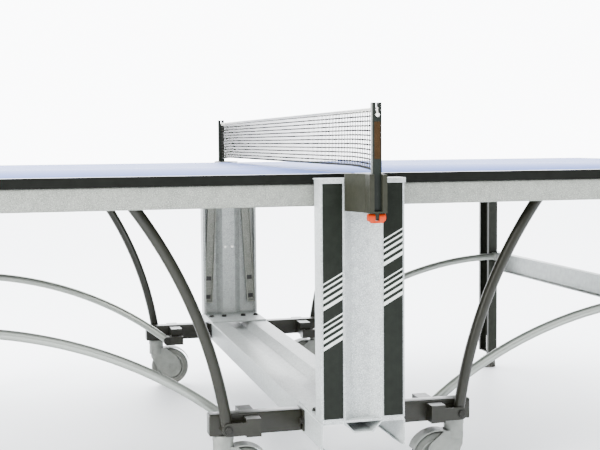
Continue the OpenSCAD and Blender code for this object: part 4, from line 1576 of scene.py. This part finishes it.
@dataclass
class NetSet:
    """Net, tapes, posts, brackets, cords and levers."""

    body: str = "chassis"
    rows: int = 13
    mesh_size: float = 0.0125
    cord: float = 0.0034
    thin_cord: float = 0.0022
    lift: float = 0.0085
    droop: float = 0.008
    drop_reach: float = 0.20

    def level(self, y: float, share: float, low: float, high: float, half: float) -> float:
        """Height of a point of the net.

        Args:
            y: Place across the table.
            share: 0 at the lower edge and 1 at the upper edge.
            low: Height of the lower edge over the table.
            high: Height of the upper edge.
            half: Half the length of the net.

        Returns:
            The height.
        """
        past = max(0.0, (abs(y) - (half - self.drop_reach)) / self.drop_reach)
        bottom = low - self.droop * past ** 2
        return bottom + (high - bottom) * share

    def strands(self, name: str, lines: Sequence[Sequence[Vector]], width: float,
                finish: Finish) -> bpy.types.Object:
        """Sweeps thin cords along many lines.

        Args:
            name: The object's name.
            lines: The cords' paths.
            width: Diameter of the cords.
            finish: Their finish.

        Returns:
            The cords as one plain mesh.
        """
        points: list[Vector] = []
        edges: list[tuple[int, int]] = []
        for line in lines:
            start = len(points)
            points += line
            edges += [(start + i, start + i + 1) for i in range(len(line) - 1)]
        mesh = bpy.data.meshes.new(name)
        mesh.from_pydata([tuple(point) for point in points], edges, [])
        growth = Growth("net_strands", Radius=width / 2, Material=Palette.material(finish))
        path = growth.wire(growth.add("GeometryNodeMeshToCurve"), Mesh=growth.read("Geometry"))
        ring = growth.wire(growth.add("GeometryNodeCurvePrimitiveCircle"), Resolution=5,
                           Radius=growth.read("Radius"))
        tube = growth.wire(growth.add("GeometryNodeCurveToMesh"), Curve=path.outputs[0],
                           Profile_Curve=ring.outputs[0], Fill_Caps=True)
        growth.close(tube.outputs[0])
        return growth.run(make_object(name, mesh), 80.0)

    def net(self) -> None:
        """The knotted net with its tapes."""
        low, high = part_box("net")
        half = high.y - 0.001
        columns = round(2 * half / self.mesh_size)
        across = [half * (2 * i / columns - 1) for i in range(columns + 1)]
        top = high.z - 0.003
        base = low.z + self.lift
        rows = []
        for row in range(self.rows):
            share = row / (self.rows - 1)
            ripple = 0.0004
            rows.append([Vector((ripple * math.sin(3 * i + row), y,
                                 self.level(y, share, base, top, half)
                                 - 0.0012 * abs(math.sin(math.pi * (i + row) / 2))))
                         for i, y in enumerate(across)])
        stiles = [[Vector((0.0, y, self.level(y, s / 6, base, top, half))) for s in range(7)]
                  for y in across]
        horizontal = self.strands("net_rows", rows, self.cord, Palette.net)
        vertical = self.strands("net_stiles", stiles, self.thin_cord, Palette.net)
        net = fit(join("net_mesh", [horizontal, vertical]), self.body, Palette.net, "net")
        for share, tall, name, finish in ((0.0, 0.005, "net_bottom_tape", Palette.tape),
                                          (1.0, 0.006, "net_top_tape", Palette.white_cord)):
            self.tape(name, across, share, tall, base, top, half, finish)

    def tape(self, name: str, across: Sequence[float], share: float, tall: float, low: float,
             high: float, half: float, finish: Finish) -> bpy.types.Object:
        """A folded tape sewn along one edge of the net.

        Args:
            name: The object's name.
            across: Places along the net.
            share: 0 for the lower edge and 1 for the upper.
            tall: Height of the tape.
            low: Height of the net's lower edge.
            high: Height of the net's upper edge.
            half: Half the net's length.
            finish: The tape's finish.

        Returns:
            The tape.
        """
        shape = bmesh.new()
        thick = 0.0011
        rings = []
        for y in across:
            z = self.level(y, share, low, high, half)
            ring = [shape.verts.new((dx, y, z + dz)) for dx, dz in
                    ((-thick, -tall / 2), (thick, -tall / 2), (thick, tall / 2), (-thick, tall / 2))]
            rings.append(ring)
        for first, second in zip(rings, rings[1:]):
            for i in range(4):
                j = (i + 1) % 4
                shape.faces.new((first[i], first[j], second[j], second[i]))
        shape.faces.new(rings[0])
        shape.faces.new(rings[-1])
        return fit(make_mesh(name, shape), self.body, finish)

    def post(self, flank: Flank) -> None:
        """A net post: dark bar with a pale edge strip, a slot and inner webbing."""
        node = f"{flank.word}_net_post"
        low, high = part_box(node)
        slot_half, slot_depth = 0.0022, 0.016
        outer = flank.value * max(abs(low.y), abs(high.y))
        width, top = high.x, high.z
        edge = 0.0012
        body_top = top - slot_depth
        parts = [block("bar", (low.x, low.y, low.z), (high.x, high.y, body_top), edge)]
        for sign in (-1, 1):
            xs = sorted((sign * slot_half, sign * width))
            parts.append(block("horn", (xs[0], low.y, body_top - 0.0012), (xs[1], high.y, top), edge))
        for part in parts:
            dress(part, Palette.post)
        inner = outer - flank.value * 0.0118
        strip_ys = sorted((inner - flank.value * 0.0003, outer - flank.value * 0.0002))
        strip = block("strip", (low.x - 0.0003, strip_ys[0], low.z + 0.002),
                      (low.x + 0.0045, strip_ys[1], top - 0.001), 0.0008)
        parts.append(dress(strip, Palette.post_edge))
        web_ys = sorted((outer - flank.value * 0.001, outer + flank.value * 0.0004))
        web = block("webbing", (-0.006, web_ys[0], top - 0.118), (0.0075, web_ys[1], top - 0.040), 0.0004)
        parts.append(dress(web, Palette.webbing))
        fit(join(f"{node}_bar", parts), self.body, Palette.post, node)

    def build(self) -> None:
        """Builds the net set."""
        self.net()
        for flank in Flank:
            self.post(flank)
            repaint(f"{flank.word}_net_bracket", Palette.bracket)
            repaint(f"{flank.word}_release_lever", Palette.orange)
        repaint("net_top_cord", Palette.white_cord)
        repaint("cord_tails", Palette.white_cord)


# ---------------------------------------------------------------- studio


@dataclass
class Studio:
    """Pale floor, soft light and the camera."""

    focal_pixels: float = 1108.0
    image_width: float = 600.0
    sensor: float = 36.0
    position: tuple[float, float, float] = (-0.72865, -3.1343, 0.83225)
    yaw: float = 14.22
    pitch: float = 4.32
    roll: float = -0.5
    ambient: float = 0.85
    overhead: float = 6.5
    behind: float = 10.0

    def camera(self) -> None:
        """Sets up the scene's camera."""
        data = bpy.data.cameras.new("camera")
        data.sensor_width = self.sensor
        data.lens = self.focal_pixels / self.image_width * self.sensor
        yaw, pitch, roll = (math.radians(value) for value in (self.yaw, self.pitch, self.roll))
        forward = Vector((math.sin(yaw) * math.cos(pitch), math.cos(yaw) * math.cos(pitch), -math.sin(pitch)))
        right = Vector((math.cos(yaw), -math.sin(yaw), 0.0))
        up = right.cross(forward)
        turned = right * math.cos(roll) + up * math.sin(roll)
        above = up * math.cos(roll) - right * math.sin(roll)
        rotation = Matrix((turned, above, -forward)).transposed().to_4x4()
        made = bpy.data.objects.new("camera", data)
        bpy.context.scene.collection.objects.link(made)
        made.matrix_world = Matrix.Translation(Vector(self.position)) @ rotation
        bpy.context.scene.camera = made

    def area_light(self, name: str, place: Sequence[float], aim: Sequence[float], size: float,
                   power: float, colour: Colour) -> None:
        """Adds one soft box.

        Args:
            name: The lamp's name.
            place: Where it stands.
            aim: The point that it faces.
            size: Width of the square box.
            power: Power in watts.
            colour: Colour of its light.
        """
        data = bpy.data.lights.new(name, "AREA")
        data.size = size
        data.energy = power
        data.color = colour
        lamp = bpy.data.objects.new(name, data)
        bpy.context.scene.collection.objects.link(lamp)
        look = Vector(aim) - Vector(place)
        turned = look.to_track_quat("-Z", "Y").to_matrix().to_4x4()
        lamp.matrix_world = Matrix.Translation(Vector(place)) @ turned

    def floor(self) -> None:
        """A wide pale floor."""
        shape = bmesh.new()
        bmesh.ops.create_grid(shape, x_segments=1, y_segments=1, size=30.0)
        piece = make_mesh("studio_floor", shape)
        shader = Shader("studio_floor_paper")
        shader.surface.inputs["Base Color"].default_value = (0.93, 0.945, 0.97, 1.0)
        shader.set(Roughness=0.55)
        piece.data.materials.append(shader.material)

    def world(self) -> None:
        """A pale surround, brightest overhead and behind the table."""
        made = bpy.data.worlds.new("surround")
        made.use_nodes = True
        tree = made.node_tree
        sky = tree.nodes["Background"]
        sky.inputs["Color"].default_value = (0.955, 0.975, 1.0, 1.0)
        coords = tree.nodes.new("ShaderNodeTexCoord")
        split = tree.nodes.new("ShaderNodeSeparateXYZ")
        tree.links.new(coords.outputs["Generated"], split.inputs[0])
        level: bpy.types.NodeSocket | None = None
        for axis, start, stop, strength in (("Z", 0.15, 0.9, self.overhead), ("Y", 0.55, 0.85, self.behind)):
            glow = tree.nodes.new("ShaderNodeMapRange")
            glow.interpolation_type = "SMOOTHSTEP"
            for key, value in (("From Min", start), ("From Max", stop), ("To Max", strength)):
                glow.inputs[key].default_value = value
            tree.links.new(split.outputs[axis], glow.inputs["Value"])
            total = tree.nodes.new("ShaderNodeMath")
            total.operation = "ADD"
            total.inputs[1].default_value = self.ambient
            tree.links.new(glow.outputs[0], total.inputs[0])
            if level is not None:
                tree.links.new(level, total.inputs[1])
            level = total.outputs[0]
        tree.links.new(level, sky.inputs["Strength"])
        bpy.context.scene.world = made

    def build(self) -> None:
        """Builds the studio."""
        self.camera()
        self.floor()
        self.world()
        self.area_light("key", (-4.6, -3.2, 2.6), (0.0, 0.0, 0.5), 2.6, 560.0, (1.0, 0.99, 0.97))
        self.area_light("under", (0.0, -0.30, 0.60), (0.0, 0.82, 0.46), 0.4, 9.0, (1.0, 1.0, 0.98))
        self.area_light("top", (0.0, 0.6, 4.5), (0.0, 0.0, 0.7), 4.0, 160.0, (1.0, 1.0, 1.0))


def main() -> None:
    """Builds every sub-assembly in order."""
    logging.basicConfig(level=logging.INFO, format="%(name)s: %(message)s")
    Studio().build()
    Chassis().build()
    for side in Side:
        HalfTop(side).build()
        Linkage(side).build()
        for flank in Flank:
            Caster(side, flank).build()
    NetSet().build()


if __name__ == "__main__":
    main()
